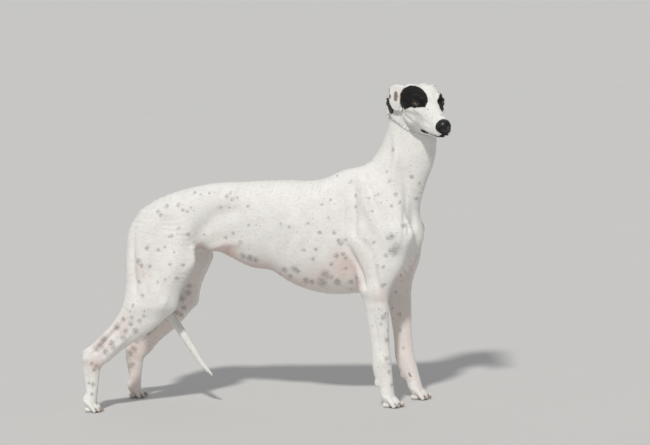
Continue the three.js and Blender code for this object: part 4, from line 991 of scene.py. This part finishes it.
coatLook = dict(
    white=(0.86, 0.845, 0.815), shade=(0.775, 0.758, 0.725), pink=(0.66, 0.43, 0.375),
    grey=(0.13, 0.12, 0.115), black=(0.0075, 0.0065, 0.006), rust=(0.034, 0.015, 0.009),
    # The dark colour below serves dark skin lines and the painted shade in the ear's hollow and the mouth's
    # corner
    earBrown=(0.16, 0.105, 0.09), inkAndShade=(0.022, 0.019, 0.019),
    hairScale=420.0, hairStretch=(0.14, 1, 1), hairTilts=(20, 80, 15), faceFiner=1.3,
    cloudScale=26.0, grainScale=170.0, freckleScale=62.0,
    bump=0.2, spotting=0.25, spotThrough=0.4, freckling=0.24, earBrowning=0.85, shine=(0.55, 0.8),
    toneEdge=(0.35, 0.62), spotEdge=(0.22, 0.9), hairGap=(0.62, 0.38), freckleEdge=(0.24, 0.06),
    brownEdge=(0.35, 0.6), rustEdge=(0.36, 0.62), patchEdge=(0.38, 0.62), inkAndShadeEdge=(0.25, 0.75),
)


def attribute(tree, name):
    return addNode(tree, "ShaderNodeAttribute", attribute_name=name).outputs["Fac"]


def sums(tree, a, b, operation="ADD", clamp=False):
    return addNode(tree, "ShaderNodeMath", {0: a, 1: b}, operation=operation, use_clamp=clamp).outputs[0]


def smoothMask(tree, value, low, high):
    return addNode(tree, "ShaderNodeMapRange", {"Value": value, "From Min": low, "From Max": high},
                   interpolation_type="SMOOTHSTEP").outputs["Result"]


def mixed(tree, share, a, b):
    made = addNode(tree, "ShaderNodeMix", data_type="RGBA")
    for key, value in ((0, share), (6, a), (7, b)):
        if isinstance(value, bpy.types.NodeSocket):
            tree.links.new(value, made.inputs[key])
        else:
            made.inputs[key].default_value = value if isinstance(value, float) else (*value, 1)
    return made.outputs[2]


# Mottle: two colours mixed by a noise in the object's own space, shared by eyes, nose, claws, chain
# and floor. From and To cut the noise, and Soft rounds the steps between the colours.
def makeMottle():
    group = bpy.data.node_groups.new("mottle", "ShaderNodeTree")
    for name in ("Scale", "Detail", "From", "To", "Soft"):
        group.interface.new_socket(name, in_out="INPUT", socket_type="NodeSocketFloat")
    for name in ("Dark", "Light"):
        group.interface.new_socket(name, in_out="INPUT", socket_type="NodeSocketColor")
    group.interface.new_socket("Colour", in_out="OUTPUT", socket_type="NodeSocketColor")
    group.interface.new_socket("Mask", in_out="OUTPUT", socket_type="NodeSocketFloat")
    given = group.nodes.new("NodeGroupInput").outputs
    noise = addNode(group, "ShaderNodeTexNoise", {
        "Vector": addNode(group, "ShaderNodeTexCoord").outputs["Object"],
        "Scale": given["Scale"], "Detail": given["Detail"]})
    plain, soft = (addNode(group, "ShaderNodeMapRange", {
        "Value": noise.outputs["Fac"], "From Min": given["From"], "From Max": given["To"],
    }, interpolation_type=kind).outputs["Result"] for kind in ("LINEAR", "SMOOTHSTEP"))
    mask = addNode(group, "ShaderNodeMix", {0: given["Soft"], 2: plain, 3: soft}).outputs[0]
    result = group.nodes.new("NodeGroupOutput")
    group.links.new(mixed(group, mask, given["Dark"], given["Light"]), result.inputs["Colour"])
    group.links.new(mask, result.inputs["Mask"])
    return group


mottle = makeMottle()
mottleValues = dict(Detail=3.0, From=0.0, To=1.0, Soft=0.0)
streakValues = dict(Detail=2.0, From=0.35, To=0.65, Soft=1.0)


def mottled(tree, dark, light, **values):
    placed = addNode(tree, "ShaderNodeGroup", node_tree=mottle)
    values = dict(mottleValues, **values, Dark=(*dark, 1), Light=(*light, 1))
    for name, value in values.items():
        placed.inputs[name].default_value = value
    return placed.outputs["Colour"], placed.outputs["Mask"]


def shineFrom(tree, bsdf, mask, span):
    shine = addNode(tree, "ShaderNodeMapRange", {"Value": mask, "To Min": span[0], "To Max": span[1]})
    tree.links.new(shine.outputs["Result"], bsdf.inputs["Roughness"])


# Noise drawn out along the way the hair lies
def lieNoise(tree, place, turn, scale):
    mapped = addNode(tree, "ShaderNodeMapping", {
        "Vector": place, "Rotation": turn, "Scale": coatLook["hairStretch"]})
    return addNode(tree, "ShaderNodeTexNoise", {
        "Vector": mapped.outputs["Vector"], "Scale": scale, "Detail": 3.0, "Roughness": 0.6}).outputs["Fac"]


def coatMaterial():
    material, tree, bsdf = newMaterial("short_coat", **{
        "Sheen Weight": 0.04, "Sheen Roughness": 0.45, "Specular IOR Level": 0.22})
    place = addNode(tree, "ShaderNodeTexCoord").outputs["Object"]
    scale = coatLook["hairScale"]
    headAngle = math.atan2(headTurn[0][1], headTurn[0][0])
    tilts = [math.radians(-tilt) for tilt in coatLook["hairTilts"]]
    back = lieNoise(tree, place, (0, tilts[0], 0), scale)
    down = lieNoise(tree, place, (0, tilts[1], 0), scale)
    over = lieNoise(tree, place, (0, tilts[2], -headAngle), scale * coatLook["faceFiner"])
    body = addNode(tree, "ShaderNodeMix", {0: attribute(tree, "down"), 2: back, 3: down}).outputs[0]
    hair = addNode(tree, "ShaderNodeMix", {0: attribute(tree, "face"), 2: body, 3: over}).outputs[0]
    cloud = addNode(tree, "ShaderNodeTexNoise", {
        "Vector": place, "Scale": coatLook["cloudScale"], "Detail": 3.0}).outputs["Fac"]
    grain = addNode(tree, "ShaderNodeTexNoise", {
        "Vector": place, "Scale": coatLook["grainScale"], "Detail": 2.0}).outputs["Fac"]

    def waver(noise, amount):
        return sums(tree, sums(tree, noise, 0.5, "SUBTRACT"), amount, "MULTIPLY")
    rough = sums(tree, waver(cloud, 0.3), waver(hair, 0.5))
    fine = waver(grain, 0.35)

    tone = sums(tree, sums(tree, hair, 0.6, "MULTIPLY"), sums(tree, cloud, 0.4, "MULTIPLY"))
    colour = mixed(tree, smoothMask(tree, tone, *coatLook["toneEdge"]), coatLook["shade"], coatLook["white"])
    flushed = sums(tree, attribute(tree, "pink"), sums(tree, cloud, 0.35), "MULTIPLY", clamp=True)
    colour = mixed(tree, flushed, colour, coatLook["pink"])
    spots = sums(tree, sums(tree, attribute(tree, "spot"), rough), sums(tree, fine, 1.4, "MULTIPLY"))
    gaps = smoothMask(tree, hair, *coatLook["hairGap"])
    through = sums(tree, sums(tree, gaps, coatLook["spotThrough"], "MULTIPLY"), coatLook["spotting"])
    spotted = sums(tree, smoothMask(tree, spots, *coatLook["spotEdge"]), through, "MULTIPLY")
    colour = mixed(tree, spotted, colour, coatLook["grey"])
    cells = addNode(tree, "ShaderNodeTexVoronoi", {"Vector": place, "Scale": coatLook["freckleScale"]})
    chosen = addNode(tree, "ShaderNodeSeparateColor", {"Color": cells.outputs["Color"]}).outputs["Red"]
    kept = sums(tree, chosen, attribute(tree, "freckle"), "LESS_THAN")
    dot = smoothMask(tree, sums(tree, cells.outputs["Distance"], fine), *coatLook["freckleEdge"])
    dots = sums(tree, sums(tree, dot, kept, "MULTIPLY"), coatLook["freckling"], "MULTIPLY")
    colour = mixed(tree, dots, colour, coatLook["grey"])
    marks = smoothMask(tree, sums(tree, attribute(tree, "brown"), rough), *coatLook["brownEdge"])
    colour = mixed(tree, sums(tree, marks, coatLook["earBrowning"], "MULTIPLY"), colour, coatLook["earBrown"])
    tint = smoothMask(tree, cloud, *coatLook["rustEdge"])
    tint = sums(tree, tint, attribute(tree, "rear"), "MULTIPLY")
    glow = mixed(tree, tint, coatLook["black"], coatLook["rust"])
    patch = sums(tree, attribute(tree, "dark"), sums(tree, rough, 1.5, "MULTIPLY"))
    colour = mixed(tree, smoothMask(tree, patch, *coatLook["patchEdge"]), colour, glow)
    # Dark skin lines and painted shade (ear hollow, mouth corner) laid over the coat colour
    edge = sums(tree, attribute(tree, "inkAndShade"), sums(tree, rough, 0.5, "MULTIPLY"))
    colour = mixed(tree, smoothMask(tree, edge, *coatLook["inkAndShadeEdge"]), colour, coatLook["inkAndShade"])
    tree.links.new(colour, bsdf.inputs["Base Color"])
    shineFrom(tree, bsdf, hair, coatLook["shine"])
    height = sums(tree, sums(tree, hair, 0.8, "MULTIPLY"), sums(tree, grain, 0.2, "MULTIPLY"))
    raised = addNode(tree, "ShaderNodeBump",
                     {"Height": height, "Strength": coatLook["bump"], "Distance": 0.002})
    tree.links.new(raised.outputs["Normal"], bsdf.inputs["Normal"])
    return material


coat = coatMaterial()
skin.data.materials.append(coat)
print("coat painted")


# Short hair: thin tufts lying along the body, smallest on the face and feet
tuftSizes = dict(seed=5, length=9.0, width=1.5, height=0.34, sunk=0.35, rise=0.45, small=0.45, jitter=0.16,
                 sizes=(0.75, 1.2), rises=(0.5, 1.3), rootWidth=0.4, bend=0.45, patch=0.0015,
                 limbTop=430, sole=2)
coatPieces = dict(coat_trunk=17500, coat_limbs=17500, coat_head=9000)


def hairLie(points, normals, values):
    back = np.array([-1, 0, -0.34])
    down = np.array([-0.12, 0, -1])
    face = -headTurn[0] - 0.35 * headTurn[2]
    lie = back + (down - back) * values["down"][:, None]
    lie = lie + (face - lie) * values["face"][:, None]
    lie = lie - normals * np.sum(lie * normals, 1, keepdims=True)
    return lie / np.maximum(np.linalg.norm(lie, axis=1, keepdims=True), 1e-6)


def skinCorners():
    mesh = skin.data
    mesh.calc_loop_triangles()
    corners = np.zeros(len(mesh.loop_triangles) * 3, np.int32)
    mesh.loop_triangles.foreach_get("vertices", corners)
    return corners.reshape(-1, 3)


# Unwrap for the tufts: each flesh part is rolled out round its own long axis into its own tile
tiles = dict(across=5, margin=0.05, length=1.3)


def tilePlace(number, share):
    margin = tiles["margin"]
    return (number + margin + (1 - 2 * margin) * share) / tiles["across"]


def unwrapped(points):
    tree = KDTree(sum(len(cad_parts[name].data.vertices) for name in fleshNodes))
    owners, axes = [], []
    for k, name in enumerate(fleshNodes):
        here = nodePoints(name)
        for p in here:
            tree.insert(p, len(owners))
            owners.append(k)
        middle = here.mean(0)
        turned = np.linalg.svd(here - middle, full_matrices=False)[2]
        axes.append((middle, turned, np.ptp(here, axis=0).max()))
    tree.balance()
    uv = np.zeros((len(points), 2))
    for i, p in enumerate(points):
        k = owners[tree.find(p)[1]]
        middle, (along, wide, deep), size = axes[k]
        r = p - middle
        turn = math.atan2(r @ deep, r @ wide) / (2 * math.pi) + 0.5
        far = np.clip((r @ along) / (tiles["length"] * size) + 0.5, 0, 1)
        uv[i] = tilePlace(k % tiles["across"], turn), tilePlace(k // tiles["across"], far)
    return uv


def makeTufts():
    rng = np.random.default_rng(tuftSizes["seed"])
    corners = skinCorners()
    a, b, c = (skinPoints[corners[:, k]] for k in range(3))
    area = np.linalg.norm(np.cross(b - a, c - a), axis=1)
    centre = (a + b + c) / 3
    onHead = skinMarks["face"][corners[:, 0]] > 0.5
    isTrunk = (~onHead) & (centre[:, 2] > tuftSizes["limbTop"])
    isLimb = (~onHead) & ~isTrunk & (centre[:, 2] > tuftSizes["sole"])
    groups = dict(coat_trunk=isTrunk, coat_limbs=isLimb, coat_head=onHead)
    for name, count in coatPieces.items():
        share = area * groups[name]
        chosen = rng.choice(len(corners), count, p=share / share.sum())
        weight = rng.dirichlet((1, 1, 1), len(chosen))
        picked = corners[chosen]
        root = np.einsum("ij,ijk->ik", weight, skinPoints[picked])
        normal = np.einsum("ij,ijk->ik", weight, skinNormals[picked])
        normal /= np.linalg.norm(normal, axis=1, keepdims=True)
        values = {key: np.einsum("ij,ij->i", weight, value[picked]) for key, value in skinMarks.items()}
        lie = hairLie(root, normal, values)
        side = np.cross(normal, lie)
        turn = rng.normal(0, tuftSizes["jitter"], (len(root), 1))
        lie, side = lie * np.cos(turn) + side * np.sin(turn), side * np.cos(turn) - lie * np.sin(turn)
        foot = fading(root[:, 2], 45, 90)
        size = (1 - (1 - tuftSizes["small"]) * np.maximum(values["face"], foot))[:, None]
        size = size * rng.uniform(*tuftSizes["sizes"], size.shape)
        long, wide, high = (tuftSizes[k] * size for k in ("length", "width", "height"))
        rise = tuftSizes["rise"] * size * rng.uniform(*tuftSizes["rises"], size.shape)
        base = root - normal * tuftSizes["sunk"]
        middle = root + lie * long * tuftSizes["bend"] + normal * rise * 0.35
        tip = root + lie * long + normal * rise * 0.6
        rootHalf, half = side * wide * tuftSizes["rootWidth"], side * wide * 0.5
        shape = np.stack([
            base - rootHalf, base + rootHalf, base + normal * high,
            middle - half, middle + half, middle + normal * high, tip,
        ], 1)
        rows = np.array([(0, 1, 4, 3), (1, 2, 5, 4), (2, 0, 3, 5), (3, 4, 6, 6), (4, 5, 6, 6), (5, 3, 6, 6)])
        faces = []
        for k in range(len(root)):
            for row in rows + 7 * k:
                faces.append(tuple(row) if row[2] != row[3] else tuple(row[:3]))
            faces.append((7 * k, 7 * k + 2, 7 * k + 1))
        points = shape.reshape(-1, 3)
        piece = newObject(name, toWorld(points), faces, smooth=False)
        paintPoints(piece.data, {key: np.repeat(value, 7) for key, value in values.items()})
        patch = np.array([(-1, -1), (1, -1), (0, 1), (-1, 0), (1, 0), (0, 0.5), (0, 1)])
        patch = patch * tuftSizes["patch"]
        uv = (unwrapped(root)[:, None] + patch[None]).reshape(-1, 2)
        loops = np.zeros(len(piece.data.loops), np.int32)
        piece.data.loops.foreach_get("vertex_index", loops)
        layer = piece.data.uv_layers.new(name="OFBake")
        layer.data.foreach_set("uv", uv[loops].ravel())
        piece.data.materials.append(coat)
        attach(piece, "root")
        print(name, len(root), "tufts")


makeTufts()


# Eyes: whole balls turned to where they look
eyeLook = dict(gaze=(0.815, 0.49, 0.28), cornea=0.7, pupil=14.0, iris=37.0, spokes=900.0,
               amber=(0.12, 0.062, 0.028), pale=(0.25, 0.16, 0.085), rim=(0.02, 0.012, 0.008),
               white=(0.10, 0.055, 0.04), black=(0.002, 0.002, 0.002),
               rings=36, around=48, crowding=1.25, corneaAngle=30.0, clearance=0.35)


def eyeMaterial():
    material, tree, bsdf = newMaterial("wet_eye", **{
        "Roughness": 0.12, "Coat Weight": 1.0, "Coat Roughness": 0.02})
    angle = attribute(tree, "angle")
    iris, pupil = eyeLook["iris"], eyeLook["pupil"]
    colour = mottled(tree, eyeLook["amber"], eyeLook["pale"], Scale=eyeLook["spokes"], **streakValues)[0]
    colour = mixed(tree, smoothMask(tree, angle, iris * 0.72, iris), colour, eyeLook["rim"])
    colour = mixed(tree, smoothMask(tree, angle, iris, iris + 8), colour, eyeLook["white"])
    colour = mixed(tree, smoothMask(tree, angle, pupil, pupil - 2.5), colour, eyeLook["black"])
    tree.links.new(colour, bsdf.inputs["Base Color"])
    return material


def makeEyes():
    material = eyeMaterial()
    for s, name in ((-1, "right"), (1, "left")):
        centre = outOfHead([0, s * eye["apart"], 0])
        gaze = unit([eyeLook["gaze"][0], s * eyeLook["gaze"][1], eyeLook["gaze"][2]]) @ headTurn
        across = unit(np.cross([0, 0, 1], gaze))
        upward = np.cross(gaze, across)
        rows, columns = eyeLook["rings"], eyeLook["around"]
        points, angles = [], []
        for i in range(rows + 1):
            polar = math.pi * (i / rows) ** eyeLook["crowding"]
            bulge = eyeLook["cornea"] * math.exp(-(math.degrees(polar) / eyeLook["corneaAngle"]) ** 4)
            radius = eye["radius"] - eyeLook["clearance"] + bulge
            for turn in turns(columns):
                sideways = across * math.cos(turn) + upward * math.sin(turn)
                out = gaze * math.cos(polar) + sideways * math.sin(polar)
                points.append(centre + out * radius)
                angles.append(math.degrees(polar))
        faces = [(i * columns + j, i * columns + (j + 1) % columns, (i + 1) * columns + (j + 1) % columns,
                  (i + 1) * columns + j) for i in range(rows) for j in range(columns)]
        ball = newObject(f"eyeball_{name}", toWorld(points), faces)
        edit = bmesh.new()
        edit.from_mesh(ball.data)
        layer = edit.verts.layers.float.new("angle")
        for vert, value in zip(edit.verts, angles):
            vert[layer] = value
        bmesh.ops.remove_doubles(edit, verts=edit.verts, dist=1e-6)
        bmesh.ops.recalc_face_normals(edit, faces=edit.faces)
        edit.to_mesh(ball.data)
        edit.free()
        ball.data.shade_smooth()
        ball.data.materials.append(material)
        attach(ball, "root")
        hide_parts(f"eye_{name}")


makeEyes()
print("eyes made")


# Nose leather
noseLook = dict(voxel=1.1, colour=(0.0045, 0.0042, 0.0045), worn=(0.011, 0.010, 0.010), level=-0.2,
                clouds=90.0, shine=(0.22, 0.5), pebbles=620.0, pebbleHeight=0.3)


def noseForms():
    def nostril(s):
        return [take(tube([[120, s * 7.8, -25, 4.2, 5.2, 5.2], [114, s * 13.5, -28, 3.4, 3.6, 3.6],
                           [106, s * 18, -29, 1.5, 1.9, 1.9]]), 2)]
    return [
        add(mass([107, 0, -26], [14, 18.5, 13.5]), 1), add(mass([102, 0, -18], [15, 15.5, 11]), 6),
        *bothSides(nostril), take(tube([[123, 0, -19, 0.8, 1, 1], [120, 0, -36, 0.8, 1, 1]]), 2),
    ]


def makeNose():
    layers = noseForms()
    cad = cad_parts["nose"].data
    mesh = remeshed(nodePoints("nose"), [face.vertices for face in cad.polygons], noseLook["voxel"])

    def field(p):
        return fieldOf(layers, intoHead(p)) * headPose["scale"]
    points = drawnOn(mesh, pointsOf(mesh), field, noseLook["level"], 2)
    points = drawnOn(mesh, evened(mesh, points, 0.5, 2), field, noseLook["level"], 2)
    setPoints(mesh, toWorld(points))
    mesh.shade_smooth()
    nose = bpy.data.objects.new("nose_pad", mesh)
    bpy.context.scene.collection.objects.link(nose)
    material, tree, bsdf = newMaterial("nose_leather", **{
        "Specular IOR Level": 0.3, "Coat Weight": 0.35, "Coat Roughness": 0.2})
    place = addNode(tree, "ShaderNodeTexCoord").outputs["Object"]
    cells = addNode(tree, "ShaderNodeTexVoronoi", {"Vector": place, "Scale": noseLook["pebbles"]},
                    feature="DISTANCE_TO_EDGE")
    pebbles = smoothMask(tree, cells.outputs["Distance"], 0.0, 0.25)
    colour, cloud = mottled(tree, noseLook["colour"], noseLook["worn"], Scale=noseLook["clouds"])
    tree.links.new(colour, bsdf.inputs["Base Color"])
    shineFrom(tree, bsdf, cloud, noseLook["shine"])
    raised = addNode(tree, "ShaderNodeBump", {
        "Height": pebbles, "Strength": noseLook["pebbleHeight"], "Distance": 0.0004})
    tree.links.new(raised.outputs["Normal"], bsdf.inputs["Normal"])
    mesh.materials.clear()
    mesh.materials.append(material)
    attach(nose, "root")
    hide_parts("nose")
    print("nose:", len(mesh.vertices), "points")


makeNose()


# Claws: four on each paw, and a dewclaw inside each fore pastern
clawLook = dict(colour=(0.50, 0.43, 0.37), dark=(0.24, 0.19, 0.16), streaks=160.0, sides=10, depth=1.2,
                curve=[(24, 13.5, 3.0), (30, 13, 3.1), (34.5, 10.8, 2.5), (38, 7.2, 1.7), (40, 4.2, 0.7)])


def clawRings(rows, side):
    rings = []
    for i, row in enumerate(rows):
        ahead = unit(np.array(rows[min(i + 1, len(rows) - 1)][:3]) - rows[max(i - 1, 0)][:3])
        wide = unit(np.array(side) - ahead * np.dot(side, ahead))
        deep = np.cross(ahead, wide) * clawLook["depth"]
        rings.append([np.array(row[:3]) + (wide * math.cos(a) + deep * math.sin(a)) * row[3]
                      for a in turns(clawLook["sides"])])
    return rings


# Rings joined into one mesh: a closed loop's last ring meets its first, and its rings run the other way
def ringsMesh(loops, closed=False):
    points, faces = [], []
    for rings in loops:
        start, count, last = len(points), len(rings[0]), len(rings) - 1
        for ring in rings:
            points += list(ring)
        for i in range(last + 1 if closed else last):
            here, ahead = start + i * count, start + (i + 1) % (last + 1) * count
            for j in range(count):
                k = (j + 1) % count
                if closed:
                    faces.append((here + j, ahead + j, ahead + k, here + k))
                else:
                    faces.append((here + j, here + k, ahead + k, ahead + j))
        if not closed:
            faces.append([start + j for j in reversed(range(count))])
            faces.append([start + last * count + j for j in range(count)])
    return points, faces


def makeClaws():
    loops = []
    for at, heading, size in paws():
        place, side = pawPlace(at, heading, size)
        for y, back, spread in pawSizes["toes"]:
            loops.append(clawRings([
                [*place(x - back, y + spread, z), r * size] for x, z, r in clawLook["curve"]], side))
    for s in (-1, 1):
        wrist, paw = (np.array(foreJoints[s][k], float) for k in ("wrist", "paw"))
        root = between(wrist, paw, 0.42) + [-4, -s * 19, 0]
        rows = [[*(root + [0, s * 3, 5]), 2.6], [*(root + [1, 0, 0]), 2.6],
                [*(root + [4, -s * 0.5, -5]), 1.9], [*(root + [8, s * 1, -8.5]), 0.6]]
        loops.append(clawRings(rows, (0, 1, 0)))
    points, faces = ringsMesh(loops)
    claws = newObject("claws", toWorld(points), faces)
    material, tree, bsdf = newMaterial("claw_horn", Roughness=0.35)
    colour = mottled(tree, clawLook["dark"], clawLook["colour"], Scale=clawLook["streaks"], **streakValues)[0]
    tree.links.new(colour, bsdf.inputs["Base Color"])
    claws.data.materials.append(material)
    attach(claws, "root")


makeClaws()
print("claws made")


# Slip chain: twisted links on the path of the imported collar, with a ring at the nape
chainLook = dict(length=7.6, width=4.6, wire=0.75, pitch=5.2, twist=40.0, ring=9.0, ringWire=1.3,
                 samples=48, sampleReach=0.11, sides=(14, 7), wear=260.0, shine=(0.2, 0.4),
                 steel=(0.55, 0.55, 0.56), bright=(0.8, 0.8, 0.8))


def chainPath():
    points = nodePoints("collar")
    middle = points.mean(0)
    first, second, normal = np.linalg.svd(points - middle, full_matrices=False)[2]
    r = points - middle
    turn = np.arctan2(r @ second, r @ first)
    path = []
    for angle in np.linspace(-math.pi, math.pi, chainLook["samples"] + 1)[:-1]:
        close = np.abs((turn - angle + math.pi) % (2 * math.pi) - math.pi) < chainLook["sampleReach"]
        path.append(points[close].mean(0))
    return np.array(path), middle, normal


def oval(centre, along, wide, length, width, wire):
    deep = np.cross(along, wide)
    rings = []
    for a in turns(chainLook["sides"][0]):
        straight = (length - width) / 2 * (1 if math.cos(a) > 0 else -1) * min(1, abs(math.cos(a)) * 3)
        reach = width / 2 - wire
        mid = centre + along * (math.cos(a) * reach + straight) + wide * math.sin(a) * reach
        out = along * math.cos(a) + wide * math.sin(a)
        rings.append([mid + (out * math.cos(b) + deep * math.sin(b)) * wire
                      for b in turns(chainLook["sides"][1])])
    return rings


def makeChain():
    path, middle, normal = chainPath()
    steps = np.linalg.norm(np.roll(path, -1, 0) - path, axis=1)
    total = steps.sum()
    count = int(total / chainLook["pitch"]) // 2 * 2
    walked = np.concatenate([[0], np.cumsum(steps)])
    around = np.vstack([path, path[:1]])

    def pointAt(step):
        return np.array([np.interp(total * step / count, walked, around[:, m]) for m in range(3)])
    loops = []
    for k in range(count):
        here, ahead = pointAt(k), pointAt((k + 0.5) % count)
        along = unit(ahead - here)
        out = unit(here - middle)
        out = unit(out - along * np.dot(out, along))
        flat = np.cross(along, out)
        turn = math.radians(chainLook["twist"] if k % 2 else -chainLook["twist"])
        wide = flat * math.cos(turn) + out * math.sin(turn)
        loops.append(oval(here, along, wide, chainLook["length"], chainLook["width"], chainLook["wire"]))
    nape = path[np.argmin(path[:, 0] + 0.5 * path[:, 1])]
    out = unit(nape - middle)
    along = unit(np.cross(normal, out))
    ringWidth = chainLook["ring"] * 1.3
    loops.append(oval(nape + out * 0.5 - [0, 0, 6], along, np.cross(out, along), ringWidth, ringWidth,
                      chainLook["ringWire"]))
    points, faces = ringsMesh(loops, closed=True)
    chain = newObject("slip_chain", toWorld(points), faces)
    material, tree, bsdf = newMaterial("chain_steel", Metallic=1.0)
    colour, wear = mottled(tree, chainLook["steel"], chainLook["bright"], Scale=chainLook["wear"])
    tree.links.new(colour, bsdf.inputs["Base Color"])
    shineFrom(tree, bsdf, wear, chainLook["shine"])
    chain.data.materials.append(material)
    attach(chain, "root")
    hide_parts("collar")
    print("chain:", count, "links")


makeChain()

# Floor and light
studio = dict(floor=60.0, floorColour=(0.64, 0.635, 0.62), floorShade=0.97, clouds=1.4,
              sky=(0.95, 0.97, 1.0), skyStrength=0.36, keyColour=(1.0, 0.98, 0.95),
              # both lights: turn, height, spread, strength
              key=(-90.0, 47.0, 5.0, 2.15), rear=(100.0, 50.0, 60.0, 0.25))


def makeStage():
    size = studio["floor"]
    floor = newObject("floor", [(-size, -size, 0), (size, -size, 0), (size, size, 0), (-size, size, 0)],
                      [(0, 1, 2, 3)], smooth=False)
    material, tree, bsdf = newMaterial("pale_floor", Roughness=0.9)
    shaded = [c * studio["floorShade"] for c in studio["floorColour"]]
    colour = mottled(tree, shaded, studio["floorColour"], Scale=studio["clouds"])[0]
    tree.links.new(colour, bsdf.inputs["Base Color"])
    floor.data.materials.append(material)
    world = bpy.data.worlds.new("pale_room")
    world.use_nodes = True
    backdrop = world.node_tree.nodes["Background"]
    backdrop.inputs["Color"].default_value = (*studio["sky"], 1)
    backdrop.inputs["Strength"].default_value = studio["skyStrength"]
    bpy.context.scene.world = world


def makeLight(name, turn, height, spread, strength, colour=(1, 1, 1)):
    data = bpy.data.lights.new(name, "SUN")
    data.angle, data.energy, data.color = math.radians(spread), strength, colour
    lamp = bpy.data.objects.new(name, data)
    bpy.context.scene.collection.objects.link(lamp)
    turn, height = math.radians(turn), math.radians(height)
    place = Vector((math.cos(turn) * math.cos(height), math.sin(turn) * math.cos(height), math.sin(height)))
    lamp.location = place * 5
    lamp.rotation_euler = (-place).to_track_quat("-Z", "Y").to_euler()


makeStage()
makeLight("key_light", *studio["key"], studio["keyColour"])
makeLight("rear_light", *studio["rear"])
bpy.context.scene.view_settings.view_transform = "Standard"
